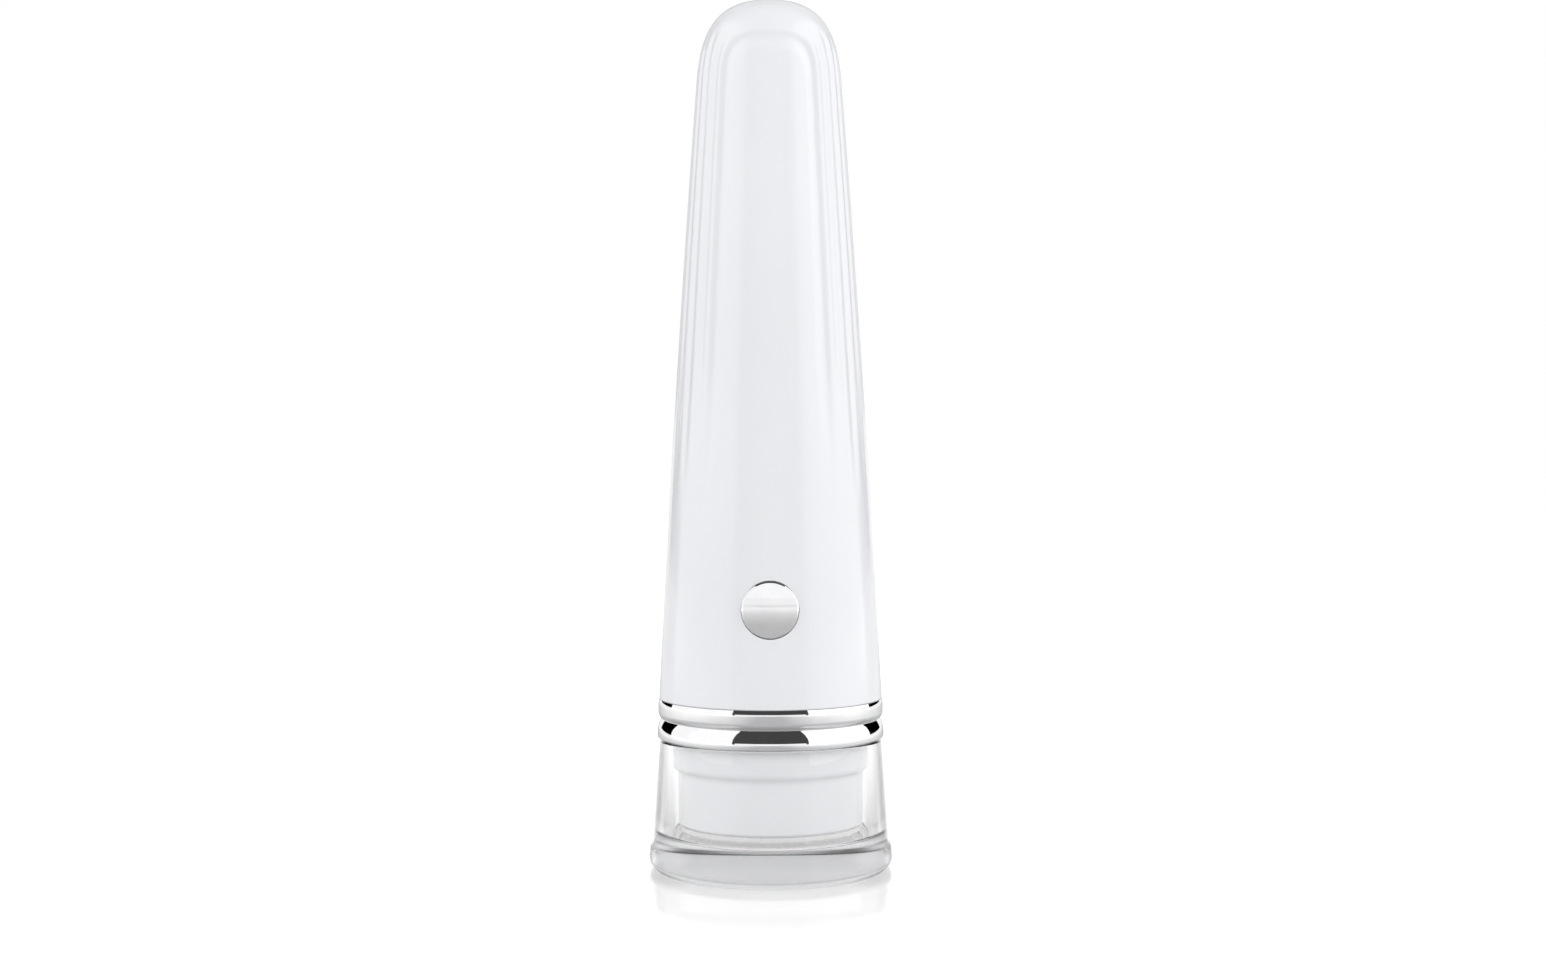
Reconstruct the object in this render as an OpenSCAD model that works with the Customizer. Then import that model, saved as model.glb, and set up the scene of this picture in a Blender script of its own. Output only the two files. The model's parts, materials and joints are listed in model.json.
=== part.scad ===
// Hand-held facial cleansing device with a ring of lights, standing head down in its clear cap.
// Millimetres. +Z is up, the button faces -Y, and the origin is the centre of the cap's foot.
// From the foot up: clear cup, its bright collar, the handle's bright trim ring, the fluted handle.

/* [Cap] */
// How far the clear cup's lip stands out beyond the handle's lower edge
cup_lip_proud = 0.35; // [0:0.05:1]
// How much wider the cup's radius is at its foot than at its lip
cup_flare = 1.4; // [0.5:0.05:3]
// Wall of the cup at its lip
cup_wall = 2.55; // [2.3:0.05:3.2]
// Height of the cup's lip above the surface it stands on
cup_h = 24; // [22:0.1:27]
// Thickness of the cup's clear floor
cup_floor = 6.4; // [5:0.1:7.5]
// Rounding of the cup's outer foot
foot_round = 1.9; // [0.6:0.1:2.5]
// Rounding of the cup's lip beside the collar
lip_round = 0.4; // [0.1:0.05:0.6]
// Depth of the shallow recess under the foot
foot_recess = 0.5; // [0.2:0.1:1]
// Width of the flat ring that the cup stands on
foot_ring_w = 2.8; // [2:0.1:5]
// Height of the cup's spigot inside the collar
spigot_h = 2.8; // [2:0.1:3]
// Wall of the cup's spigot
spigot_wall = 1.1; // [0.9:0.05:1.4]

/* [Bright rings] */
// How far the cap's collar stands out beyond the handle's lower edge
collar_proud = 0.3; // [0.2:0.05:0.8]
// Height of the cap's collar
collar_h = 3.55; // [3.3:0.05:5]
// Height of the collar's rounded shoulder
collar_shoulder_h = 2.75; // [0.8:0.05:3]
// How far that shoulder draws in at the parting line
collar_shoulder_in = 0.75; // [0.3:0.05:1]
// Rounding of the collar's lower edge
collar_foot_round = 0.35; // [0.2:0.05:0.8]
// Gap between the collar's lip and the neck that passes through it
collar_lip_gap = 0.35; // [0.15:0.05:0.7]
// How far the handle's trim ring stands out beyond the handle's lower edge
trim_proud = 0.15; // [0.05:0.05:0.5]
// Height of the handle's trim ring
trim_h = 3.55; // [3.2:0.05:6]
// Height of the soft edge along the trim ring's top, which draws in to the shell
trim_top_h = 1.1; // [0.4:0.05:1.3]
// Height of the trim ring's rounded lower edge
trim_foot_h = 1.2; // [0.5:0.1:1.6]
// How far that lower edge draws in at the parting line
trim_foot_in = 0.55; // [0.3:0.05:0.9]

/* [Handle] */
// Length of the handle's shell above the trim ring
shell_l = 128.6; // [124:0.1:150]
// Diameter of the shell at its lower edge
shell_low_d = 41.3; // [41:0.1:42]
// Diameter that the shell's taper would reach at the tip without its dome
shell_tip_d = 24.7; // [24:0.1:30]
// How far the taper bows outwards at half its length
shell_belly = 0.45; // [0:0.05:1.5]
// Height of the rounded end
dome_h = 16.5; // [14:0.5:24]
// Squareness of the rounded end, where 2 is an ellipse
dome_power = 3.05; // [2.2:0.05:3.4]
// Wall of the shell
shell_wall = 2.4; // [1.8:0.1:2.6]

/* [Flutes] */
// Half the angle between the two edge grooves of the smooth panel, at the front and at the back
panel_half = 36; // [30:1:50]
// Ribs on each side between the two panels
side_ribs = 10; // [7:1:12]
// Depth of the groove along a panel's edge
edge_depth = 0.55; // [0.3:0.05:0.8]
// Angle over which the panel rolls down into that groove
edge_slope = 8; // [5:0.5:12]
// Depth of the flutes between the ribs
flute_depth = 0.3; // [0.1:0.05:0.6]
// Height above the shell's lower edge at which the flutes begin to show
flute_fade_z = 30; // [10:1:40]
// Length over which the flutes reach their full depth
flute_fade_l = 37; // [20:1:60]
// Distance from the tip down to the top of the panel's arch
arch_drop = 9; // [5:0.5:12]
// Height of the panel's arch
arch_h = 10; // [8:0.5:20]
// Roundness of the arch's corners, where a high value is squarer
arch_power = 4; // [2:0.1:5]

/* [Head] */
// Gap between the treatment plate and the cup's floor
plate_gap = 0.6; // [0.4:0.1:2]
// How far the white head lies within its wider land
head_step = 1.05; // [0.6:0.05:1.2]
// Wall of the white head
head_wall = 1.8; // [1.6:0.05:2]
// Length of the head's wider land below the parting line
land_l = 9.5; // [6:0.1:12]
// Width of the light ring's rim around the treatment plate
light_rim = 2; // [1.9:0.05:3.5]
// Thickness of the treatment plate
plate_t = 0.8; // [0.6:0.05:1.2]
// How far the plate's middle stands proud of its rim
plate_crown = 0.25; // [0:0.05:0.4]
// Height of the visible edge of the light ring
light_h = 1.1; // [0.9:0.05:2]
// Thickness of the round board that carries the lights
led_board_t = 0.8; // [0.6:0.1:1.2]
// Number of lights
led_count = 8; // [4:1:12]
// Length, width and height of one light
led_size = [2.8, 3.5, 0.8];
// Section diameter of the neck seal
seal_d = 1.5; // [1.2:0.05:1.6]

/* [Neck] */
// Thickness of the neck carrier's web and flange
web_t = 2; // [1.6:0.1:2.4]
// Width of the flange that holds the trim ring
flange_w = 0.9; // [0.5:0.1:1.1]
// Wall of the tube that plugs into the shell
tube_wall = 2.1; // [1.5:0.1:2.4]
// Depth of the shell's register for that tube
register_l = 5.7; // [4:0.1:7]

/* [Button] */
// Diameter of the push button
button_d = 10; // [8:0.1:10.6]
// Height of the button's centre above the shell's lower edge
button_up = 17.5; // [15:0.1:26]
// How far the button's face stands proud of the shell
button_proud = 0.25; // [0:0.05:0.8]
// Bevel around the button's face
button_bevel = 0.35; // [0.1:0.05:0.6]
// Travel of the button and of the switch behind it
button_travel = 0.5; // [0.2:0.05:0.6]
// Gap all round the button's cap
button_gap = 0.15; // [0.1:0.01:0.3]

/* [Electronics] */
// Depth of the main board's front face below the shell's skin at the button
board_depth = 10.15; // [9.8:0.05:11]
// Width of the main board
board_w = 15; // [14:0.1:16]
// Thickness of the main board and of the charging board
board_t = 1.2; // [0.8:0.1:1.6]
// Height and width of the tact switch
switch_w = 6; // [5:0.1:7]
// Depth of the tact switch's housing
switch_h = 3.5; // [3:0.1:3.8]
// Diameter of the switch's plunger
plunger_d = 3.5; // [2.5:0.1:4]
// Width and height of the controller and of the driver on the main board
chip_w = 7; // [4:0.1:7.5]
// Thickness of the controller and of the driver
chip_t = 1; // [0.6:0.1:1.5]
// Width and height of the coil
coil_w = 5; // [3:0.1:6]
// Thickness of the coil and of the round capacitor
coil_t = 2; // [1:0.1:2.5]
// Diameter of the round capacitor
capacitor_d = 3.2; // [2:0.1:4]
// Length of a resistor
resistor_l = 2; // [1:0.1:2.5]
// Gap between the parts on the main board
chip_gap = 3; // [1.5:0.1:4]
// Diameter of the battery cell
cell_d = 14; // [13:0.1:14.5]
// Length of the battery cell
cell_l = 50; // [35:1:52]
// Height of the cell's lower end above the shell's lower edge
cell_up = 31.5; // [30:0.1:38]
// Width of the charging socket's metal shell
socket_w = 8.94; // [7.5:0.01:9.2]
// Height of the charging socket's metal shell
socket_h = 3.26; // [2.6:0.01:3.4]
// Length of the charging socket
socket_l = 7.35; // [6.5:0.05:9]
// How far the socket's mouth lies below the shell's skin
socket_inset = 0.6; // [0.3:0.05:1.2]
// Height of the charging board above the shell's lower edge
charge_up = 7.9; // [6.5:0.1:10]

/* [Motor] */
// Diameter of the vibration motor
motor_d = 7; // [6:0.1:7.4]
// Length of the vibration motor
motor_l = 12; // [10:0.1:13]
// Height of the motor's axis above its bracket's floor
motor_up = 5.6; // [4.6:0.1:6]
// Diameter of the motor's shaft
shaft_d = 1; // [0.8:0.1:1.5]
// Radius of the eccentric weight
weight_r = 3.2; // [2.4:0.1:3.8]
// Length of the eccentric weight
weight_l = 4; // [3:0.1:5]

/* [Fasteners and wires] */
// Shank diameter of the screws
screw_d = 1.6; // [1.4:0.1:1.8]
// Head diameter of the screws
screw_head_d = 3.2; // [2.8:0.1:3.4]
// Head height of the screws
screw_head_h = 1.1; // [0.8:0.1:1.3]
// Length of the neck screws below their heads
neck_screw_l = 8; // [7:0.1:9]
// Length of the board screws below their heads
board_screw_l = 3.6; // [3:0.1:4]
// Outer diameter of the wires
wire_d = 0.9; // [0.6:0.05:1]

/* [Clearances] */
// Gap all round a piece that slides or turns in another
running_gap = 0.05; // [0.03:0.01:0.08]
// Gap all round the head's land in the cup's bore
land_gap = 0.1; // [0.08:0.01:0.2]
// Gap all round the button's skirt in its guide
guide_gap = 0.08; // [0.05:0.01:0.1]
// Gap all round a piece that is glued or pressed into another
fit_gap = 0.03; // [0.02:0.01:0.05]
// Gap all round a piece that is only located by another
loose_gap = 0.15; // [0.1:0.01:0.2]

/* [Hidden] */
$fn = 72;
facet_step = 6;

// Heights along the axis
spigot_z = cup_h + spigot_h;
parting_z = cup_h + collar_h;
shell_z = parting_z + trim_h;
top_z = shell_z + shell_l;
dome_z = top_z - dome_h;
plate_z = cup_floor + plate_gap;
plate_rim_proud = 0.05;
light_z = plate_z + plate_crown + plate_rim_proud;
head_z = light_z + light_h;
recess_top_z = plate_z + plate_t;
led_clear = 0.6;
led_board_z = head_z + led_size[2] + led_clear;
ledge_z = led_board_z + led_board_t;
ledge_t = 1.6;
bracket_z = ledge_z + ledge_t;
bracket_t = 1.2;
motor_z = bracket_z + bracket_t + motor_up;
land_z = parting_z - land_l;
flange_t = 1.4;
web_z = parting_z + web_t;
tube_short = 0.2;
tube_top_z = shell_z + register_l - tube_short;
chassis_base_t = 1.6;
chassis_base_z = web_z + chassis_base_t;
button_z = shell_z + button_up;
charge_z = shell_z + charge_up;
socket_z = charge_z + board_t + socket_h / 2;
cell_z = shell_z + cell_up;
cell_top_z = cell_z + cell_l;

// Radii of the cap and the rings
shell_low_r = shell_low_d / 2;
cup_lip_r = shell_low_r + cup_lip_proud;
cup_low_r = cup_lip_r + cup_flare;
cup_bore_r = cup_lip_r - cup_wall;
spigot_r = cup_bore_r + spigot_wall;
foot_r = cup_low_r - foot_round;
floor_round = 0.8;
collar_r = shell_low_r + collar_proud;
trim_r = shell_low_r + trim_proud;

// Radii of the head and the neck
land_r = cup_bore_r - land_gap;
head_r = land_r - head_step;
head_in_r = head_r - head_wall;
collar_lip_r = land_r + collar_lip_gap;
ledge_w = 0.9;
ledge_r = head_in_r - ledge_w;
seal_r = seal_d / 2;
seal_mid_r = cup_bore_r - running_gap - seal_r;
seal_drop = 1.75;
seal_z = parting_z - seal_drop;
groove_r = seal_mid_r - seal_r - running_gap;
groove_w = seal_d + 4 * running_gap;
light_step = 0.2;
light_r = head_r - light_step;
plate_r = light_r - light_rim;
light_spigot_w = 0.75;
light_seat_w = 3.2;
light_open_r = plate_r - light_seat_w;
register_cut = 0.25;
register_r = shell_low_r - shell_wall + register_cut;
tube_r = register_r - loose_gap;
tube_in_r = tube_r - tube_wall;
flange_r = tube_r + flange_w;
boss_r = 2.3;
boss_sink = 0.2;
neck_screw_at = head_in_r + boss_sink - boss_r;
screw_r = screw_d / 2;
screw_head_r = screw_head_d / 2;
neck_angles = [30, 150, 270];
post_r = 1.5;
post_clear = 1.2;
post_at = ledge_r - post_clear - post_r;
post_angles = [60, 120, 210, 330];

// The shell's skin: a bowed taper that closes in a squared-off dome
function between(low, high, v) = max(low, min(high, v));
function ease(start, end, v) =
    let (t = between(0, 1, (v - start) / (end - start))) t * t * (3 - 2 * t);
function taper_r(z) =
    let (t = (z - shell_z) / shell_l)
    (shell_low_d + (shell_tip_d - shell_low_d) * t) / 2 + shell_belly * 4 * t * (1 - t);
function dome_share(z, from, height) =
    z <= from ? 1 : pow(max(0, 1 - pow((z - from) / height, dome_power)), 1 / dome_power);
function skin_r(z) = taper_r(z) * dome_share(z, dome_z, dome_h);
function inner_r(z) = (taper_r(z) - shell_wall) * dome_share(z, dome_z, dome_h - shell_wall);

// The flutes: ribs side by side, whose lines bend over the front and back panels in nested arches
flute_pitch = 2 * (90 - panel_half) / side_ribs;
arch_z = top_z - arch_drop - arch_h;
flute_low_z = shell_z + flute_fade_z;
flute_top_fade = 5.5;
flute_top_z = top_z - arch_drop - 2;
function from_panel(a) = let (b = a % 180) min(b, 180 - b);
function arch_angle(a, z) =
    let (rise = max(0, (z - arch_z) / arch_h) * panel_half)
    pow(pow(from_panel(a), arch_power) + pow(rise, arch_power), 1 / arch_power);
function flute_share(z) =
    ease(flute_low_z, flute_low_z + flute_fade_l, z)
    * (1 - ease(flute_top_z, flute_top_z + flute_top_fade, z));
function wave(x) = pow(cos(90 * between(-1, 1, x)), 2);
function groove(past) =
    past < 0 ? edge_depth * wave(past / edge_slope)
    : past < flute_pitch / 2 ? edge_depth * wave(2 * past / flute_pitch)
    : flute_depth * pow(cos(180 * past / flute_pitch), 2);
function fluted_r(a, z) = skin_r(z) - flute_share(z) * groove(arch_angle(a, z) - panel_half);

// Angles of the skin's points in one quadrant: wide steps on the panel, fine ones on the flutes
panel_steps = 4;
slope_steps = 4;
flute_steps = ceil(side_ribs * facet_step / 2);
panel_edge = panel_half - edge_slope;
quadrant = concat(
    [for (i = [0:panel_steps - 1]) panel_edge * i / panel_steps],
    [for (i = [0:slope_steps - 1]) panel_edge + edge_slope * i / slope_steps],
    [for (i = [0:flute_steps - 1]) panel_half + (90 - panel_half) * i / flute_steps]
);
quadrant_n = len(quadrant);
skin_angles = concat(
    quadrant,
    [for (i = [0:quadrant_n - 1]) i == 0 ? 90 : 180 - quadrant[quadrant_n - i]],
    [for (i = [0:quadrant_n - 1]) 180 + quadrant[i]],
    [for (i = [0:quadrant_n - 1]) i == 0 ? 270 : 360 - quadrant[quadrant_n - i]]
);
straight_rings = 10;
dome_rings = 16;
skin_heights = concat(
    [for (i = [0:straight_rings - 1]) shell_z + (dome_z - shell_z) * i / straight_rings],
    [for (i = [0:dome_rings - 1]) dome_z + dome_h * sin(90 * i / dome_rings)]
);
bore_side = 40;
bore_heights = concat(
    [for (i = [0:4]) shell_z - 1 + (dome_z - shell_z + 1) * i / 5],
    [for (i = [0:7]) dome_z + (dome_h - shell_wall) * sin(90 * i / 8)]
);
function around(r, a, z) = [r * sin(a), -r * cos(a), z];
function fluted_ring(z) = [for (a = skin_angles) around(fluted_r(a, z), a, z)];
function bore_ring(z) = [for (i = [0:bore_side - 1]) around(inner_r(z), 360 * i / bore_side, z)];

// A closed skin over rings of equal count, flat below and drawn to a point above
module lofted(rings, tip) {
    n = len(rings[0]);
    last = len(rings) - 1;
    points = concat([for (ring = rings) each ring], [tip]);
    sides = [
        for (i = [0:last - 1], j = [0:n - 1])
        let (k = (j + 1) % n)
        each [
            [i * n + j, (i + 1) * n + j, (i + 1) * n + k],
            [i * n + j, (i + 1) * n + k, i * n + k]
        ]
    ];
    crown = [for (j = [0:n - 1]) [last * n + j, len(points) - 1, last * n + (j + 1) % n]];
    polyhedron(points = points, faces = concat([[for (j = [0:n - 1]) j]], sides, crown));
}

// Points of an arc in a revolved outline
function arc(x, z, r, from, to, steps = 6) =
    [for (i = [0:steps]) let (a = from + (to - from) * i / steps) [x + r * cos(a), z + r * sin(a)]];

// Points of a shallow arc that leaves a straight side at height z and draws in over a given height
function barrel(r, z, height, inwards, downwards = false) =
    let (
        turn = 2 * atan(inwards / abs(height)),
        radius = abs(height) / sin(turn),
        bend = sign(height) * turn,
        points = arc(r - radius, z, radius, 0, bend)
    )
    downwards ? [for (i = [len(points) - 1:-1:0]) points[i]] : points;

module ring(outer, inner, low, high) {
    translate([0, 0, low])
        difference() {
            cylinder(r = outer, h = high - low);
            translate([0, 0, -1])
                cylinder(r = inner, h = high - low + 2);
        }
}

module disc(r, low, high) {
    translate([0, 0, low])
        cylinder(r = r, h = high - low);
}

// A cylinder along +Y from one depth to another, centred at x and z
module rod_y(r, x, z, from, to) {
    translate([x, from, z])
        rotate([-90, 0, 0])
            cylinder(r = r, h = to - from);
}

// A cylinder along +X from one place to another
module rod_x(r, y, z, from, to) {
    translate([from, y, z])
        rotate([0, 90, 0])
            cylinder(r = r, h = to - from);
}

// A box between two corners
module block(low, high) {
    translate(low)
        cube(high - low);
}

module at_neck_screws() {
    for (a = neck_angles)
        rotate([0, 0, a])
            translate([neck_screw_at, 0, 0])
                children();
}

// Clear cup: a thick tapered wall and floor, with a spigot for the collar
module cap_cup() {
    recess_r = foot_r - foot_ring_w;
    color([0.9, 0.94, 0.96, 0.45])
        rotate_extrude()
            polygon(concat(
                [[0, foot_recess], [recess_r - foot_recess, foot_recess], [recess_r, 0]],
                arc(foot_r, foot_round, foot_round, -90, 0),
                arc(cup_lip_r - lip_round, cup_h - lip_round, lip_round, 0, 90),
                [[spigot_r, cup_h], [spigot_r, spigot_z], [cup_bore_r, spigot_z]],
                arc(cup_bore_r - floor_round, cup_floor + floor_round, floor_round, 0, -90),
                [[0, cup_floor]]
            ));
}

// Bright collar glued over the cup's spigot, with a rounded shoulder at the parting line
module cap_collar() {
    socket_r = spigot_r + fit_gap;
    color("silver")
        rotate_extrude()
            polygon(concat(
                [[collar_lip_r, spigot_z], [collar_lip_r, parting_z]],
                barrel(collar_r, parting_z - collar_shoulder_h, collar_shoulder_h, collar_shoulder_in,
                    true),
                arc(collar_r - collar_foot_round, cup_h + collar_foot_round, collar_foot_round, 0, -90),
                [[socket_r, cup_h], [socket_r, spigot_z]]
            ));
}

// White handle: fluted skin with arched front and back panels over a smooth hollow
module handle_shell() {
    color("white")
        difference() {
            lofted([for (z = skin_heights) fluted_ring(z)], [0, 0, top_z]);
            lofted([for (z = bore_heights) bore_ring(z)], [0, 0, top_z - shell_wall]);
            disc(register_r, shell_z - 1, shell_z + register_l);
            rod_y(button_d / 2 + button_gap, 0, button_z, -shell_low_d, -shell_low_r / 2);
            socket_form(loose_gap, shell_low_r / 2, shell_low_d);
        }
}

// Bright ring held between the neck carrier's flange and the shell
module trim_ring() {
    inner = tube_r + fit_gap;
    outer = flange_r + fit_gap;
    color("silver")
        rotate_extrude()
            polygon(concat(
                [[inner, parting_z + flange_t], [outer, parting_z + flange_t], [outer, parting_z]],
                barrel(trim_r, parting_z + trim_foot_h, -trim_foot_h, trim_foot_in, true),
                barrel(trim_r, shell_z - trim_top_h, trim_top_h, trim_proud),
                [[inner, shell_z]]
            ));
}

// Inner carrier: flange under the trim ring, tube into the shell, web that the head screws to
module neck_carrier() {
    lead_h = 1.2;
    lead_w = 1.1;
    color("whitesmoke") {
        difference() {
            union() {
                disc(flange_r, parting_z, parting_z + flange_t);
                disc(tube_r, parting_z, tube_top_z);
            }
            disc(tube_in_r, web_z, tube_top_z + 1);
            at_neck_screws()
                disc(screw_r + loose_gap, parting_z - 1, web_z + 1);
            wire_ways(parting_z - 1, web_z + 1);
        }
        difference() {
            ring(head_in_r - fit_gap, head_in_r - lead_w, parting_z - lead_h, parting_z);
            at_neck_screws()
                disc(boss_r + loose_gap, parting_z - lead_h - 1, parting_z + 1);
        }
    }
}

// Rubber ring in the head's groove, which grips the cup's bore
module neck_seal() {
    color([0.85, 0.86, 0.88])
        rotate_extrude()
            translate([seal_mid_r, seal_z])
                circle(r = seal_r, $fn = 32);
}

// White head: a short tube with a wider land, a seal groove, an inner ledge and screw bosses
module head_shell() {
    boss_l = 7;
    groove_low = seal_z - groove_w / 2;
    groove_high = seal_z + groove_w / 2;
    edge = 0.5;
    step = land_r - head_r;
    color("white")
        difference() {
            union() {
                rotate_extrude()
                    polygon([
                        [head_in_r, head_z], [head_r - edge, head_z], [head_r, head_z + edge],
                        [head_r, land_z], [land_r, land_z + step], [land_r, groove_low],
                        [groove_r, groove_low], [groove_r, groove_high], [land_r, groove_high],
                        [land_r, parting_z], [head_in_r, parting_z], [head_in_r, bracket_z],
                        [ledge_r, bracket_z], [ledge_r, ledge_z], [head_in_r, ledge_z]
                    ]);
                at_neck_screws()
                    disc(boss_r, parting_z - boss_l, parting_z);
            }
            at_neck_screws()
                disc(screw_r + fit_gap, parting_z - boss_l + 1, parting_z + 1);
        }
}

// Milky ring that spreads the light around the plate and holds the light board from below
module light_ring() {
    spigot_out = head_in_r - fit_gap;
    seat_r = plate_r + fit_gap;
    edge = 0.4;
    color([0.95, 0.93, 0.93])
        rotate_extrude()
            polygon([
                [seat_r, light_z], [light_r - edge, light_z], [light_r, light_z + edge],
                [light_r, head_z], [spigot_out, head_z], [spigot_out, led_board_z],
                [spigot_out - light_spigot_w, led_board_z], [spigot_out - light_spigot_w, head_z],
                [light_open_r, head_z], [light_open_r, recess_top_z], [seat_r, recess_top_z]
            ]);
}

// Metal plate, gently crowned towards the skin
module treatment_plate() {
    steps = 8;
    color("lightgray")
        rotate_extrude()
            polygon(concat(
                [[0, recess_top_z]],
                [for (i = [0:steps]) [plate_r * i / steps, plate_z + plate_crown * pow(i / steps, 4)]],
                [[plate_r, recess_top_z]]
            ));
}

module led_board() {
    color("darkgreen")
        disc(head_in_r - loose_gap, led_board_z, ledge_z);
}

led_edge_gap = 0.25;
led_at = head_in_r - light_spigot_w - led_edge_gap - led_size[0] / 2;

// Lights on the board's underside, each with its round lens
module leds() {
    lens_share = 0.36;
    lens_r = led_size[0] * lens_share;
    lens_h = 0.2;
    color("lightyellow")
        for (i = [0:led_count - 1])
            rotate([0, 0, 360 * (i + 0.5) / led_count])
                translate([led_at, 0, led_board_z]) {
                    translate([-led_size[0] / 2, -led_size[1] / 2, -led_size[2]])
                        cube(led_size);
                    translate([0, 0, -led_size[2] - lens_h])
                        cylinder(r = lens_r, h = lens_h);
                }
}

// Sprung pins between the light board and the back of the plate
module contact_pins() {
    barrel_share = 0.7;
    barrel_h = (led_board_z - recess_top_z) * barrel_share;
    barrel_r = 0.9;
    tip_r = 0.5;
    color("gold")
        for (side = [-1, 1])
            translate([side * plate_r / 3, 0, 0]) {
                disc(barrel_r, led_board_z - barrel_h, led_board_z);
                disc(tip_r, recess_top_z, led_board_z - barrel_h);
            }
}

// Where the motor lies along X, with its shaft pointing towards +X
motor_r = motor_d / 2;
motor_share_low = 0.75;
motor_low_x = -motor_l * motor_share_low;
motor_high_x = motor_low_x + motor_l;
shaft_in = 3;
weight_gap = 0.7;
shaft_end = 0.5;
shaft_out = weight_gap + weight_l + shaft_end;

// Bracket clamped between the head's ledge and the neck web, with a snap-in cradle
module motor_bracket() {
    floor_z = bracket_z + bracket_t;
    cradle_wall = 1.5;
    cradle_x = [motor_low_x + cradle_wall, motor_high_x - 1];
    mouth_share = 0.8;
    mouth = motor_d * mouth_share;
    color("gainsboro") {
        difference() {
            disc(head_in_r - loose_gap, bracket_z, floor_z);
            at_neck_screws()
                disc(boss_r + loose_gap, bracket_z - 1, floor_z + 1);
            wire_ways(bracket_z - 1, floor_z + 1);
        }
        difference() {
            union() {
                rod_x(motor_r + cradle_wall, 0, motor_z, cradle_x[0], cradle_x[1]);
                block([cradle_x[0], -motor_r, floor_z], [cradle_x[1], motor_r, motor_z]);
            }
            rod_x(motor_r + fit_gap, 0, motor_z, cradle_x[0] - 1, cradle_x[1] + 1);
            block([cradle_x[0] - 1, -mouth / 2, motor_z],
                [cradle_x[1] + 1, mouth / 2, motor_z + motor_d]);
        }
        for (a = post_angles)
            rotate([0, 0, a])
                translate([post_at, 0, 0])
                    disc(post_r, floor_z, parting_z);
    }
}

module motor_can() {
    color("silver")
        difference() {
            rod_x(motor_r, 0, motor_z, motor_low_x, motor_high_x);
            rod_x(shaft_d / 2 + running_gap, 0, motor_z, motor_high_x - shaft_in, motor_high_x + 1);
        }
}

module motor_shaft() {
    color("dimgray")
        rod_x(shaft_d / 2, 0, motor_z, motor_high_x - shaft_in + 0.2, motor_high_x + shaft_out);
}

// Half-round weight on the shaft, heavy side down
module eccentric_weight() {
    near = motor_high_x + weight_gap;
    color("darkgoldenrod")
        difference() {
            rod_x(weight_r, 0, motor_z, near, near + weight_l);
            block([near - 1, -weight_r - 1, motor_z + shaft_d],
                [near + weight_l + 1, weight_r + 1, motor_z + weight_r + 1]);
            rod_x(shaft_d / 2 + fit_gap / 3, 0, motor_z, near - 1, near + weight_l + 1);
        }
}

// Places of the wires, which rise from the head to the charging board
wire_r = wire_d / 2;
wire_step = wire_d * 1.25;
led_wire_n = 4;
led_wire_in = 3.2;
led_wire_y = ledge_r - led_wire_in;
led_way_r = 2.7;
motor_way_r = 2.1;
motor_bend = 1.3;
motor_wire_y = 1.2;
motor_wire_lead = 0.8;
motor_wire_x = motor_low_x - motor_wire_lead - motor_bend;

// Holes that let the wires through the bracket, the web and the chassis
module wire_ways(low, high) {
    translate([0, led_wire_y, 0])
        disc(led_way_r, low, high);
    translate([motor_wire_x, 0, 0])
        disc(motor_way_r, low, high);
}

module led_wires() {
    color("firebrick")
        for (i = [0:led_wire_n - 1])
            translate([(i - (led_wire_n - 1) / 2) * wire_step, led_wire_y, 0])
                disc(wire_r, ledge_z, charge_z);
}

module motor_wires() {
    color("royalblue")
        for (side = [-1, 1])
            translate([0, side * motor_wire_y, 0]) {
                rod_x(wire_r, 0, motor_z, motor_wire_x + motor_bend, motor_low_x);
                translate([motor_wire_x + motor_bend, 0, motor_z + motor_bend])
                    rotate([90, 0, 0])
                        rotate_extrude(angle = 90, start = 180)
                            translate([motor_bend, 0])
                                circle(r = wire_r);
                translate([motor_wire_x, 0, 0])
                    disc(wire_r, motor_z + motor_bend, charge_z);
            }
}

// A pan-head screw with its head on the plane z = 0 and its shank below
module screw(length) {
    crown_share = 0.8;
    slot_w = 0.4;
    slot_depth = 0.5;
    difference() {
        cylinder(r1 = screw_head_r, r2 = screw_head_r * crown_share, h = screw_head_h);
        for (a = [0, 90])
            rotate([0, 0, a])
                translate([-screw_r, -slot_w / 2, screw_head_h - slot_depth])
                    cube([screw_d, slot_w, slot_depth + 1]);
    }
    translate([0, 0, -length])
        cylinder(r = screw_r, h = length);
}

module neck_screws() {
    color("dimgray")
        at_neck_screws()
            translate([0, 0, chassis_base_z])
                screw(neck_screw_l);
}

// Places of the two boards, worked out from the shell's skin
board_front = -(skin_r(button_z) - board_depth);
board_back = board_front + board_t;
spine_t = 1.6;
spine_back = board_back + spine_t;
board_lift = 1.2;
board_low_z = chassis_base_z + board_lift;
board_top_z = cell_top_z + 6;
cell_r = cell_d / 2;
cell_gap = 0.3;
cell_y = spine_back + cell_gap + cell_r;
spine_top_z = board_top_z + 4;
nose_t = 1.6;
charge_front_gap = 0.4;
charge_front = spine_back + charge_front_gap;
charge_edge_gap = 0.6;
charge_r = inner_r(charge_z + board_t) - charge_edge_gap;
socket_mouth = skin_r(socket_z) - socket_inset;
socket_back = socket_mouth - socket_l;
charge_post_out = 0.5;
charge_post_back = 4.3;
charge_post_at = [board_w / 2 + charge_post_out, spine_back + charge_post_back];
charge_rest_in = 4.3;
charge_rest_at = [5.5, tube_in_r - charge_rest_in];
board_screw_off = [4, 3.7];
board_screw_z = [cell_z - board_screw_off[0], cell_top_z + board_screw_off[1]];

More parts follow.
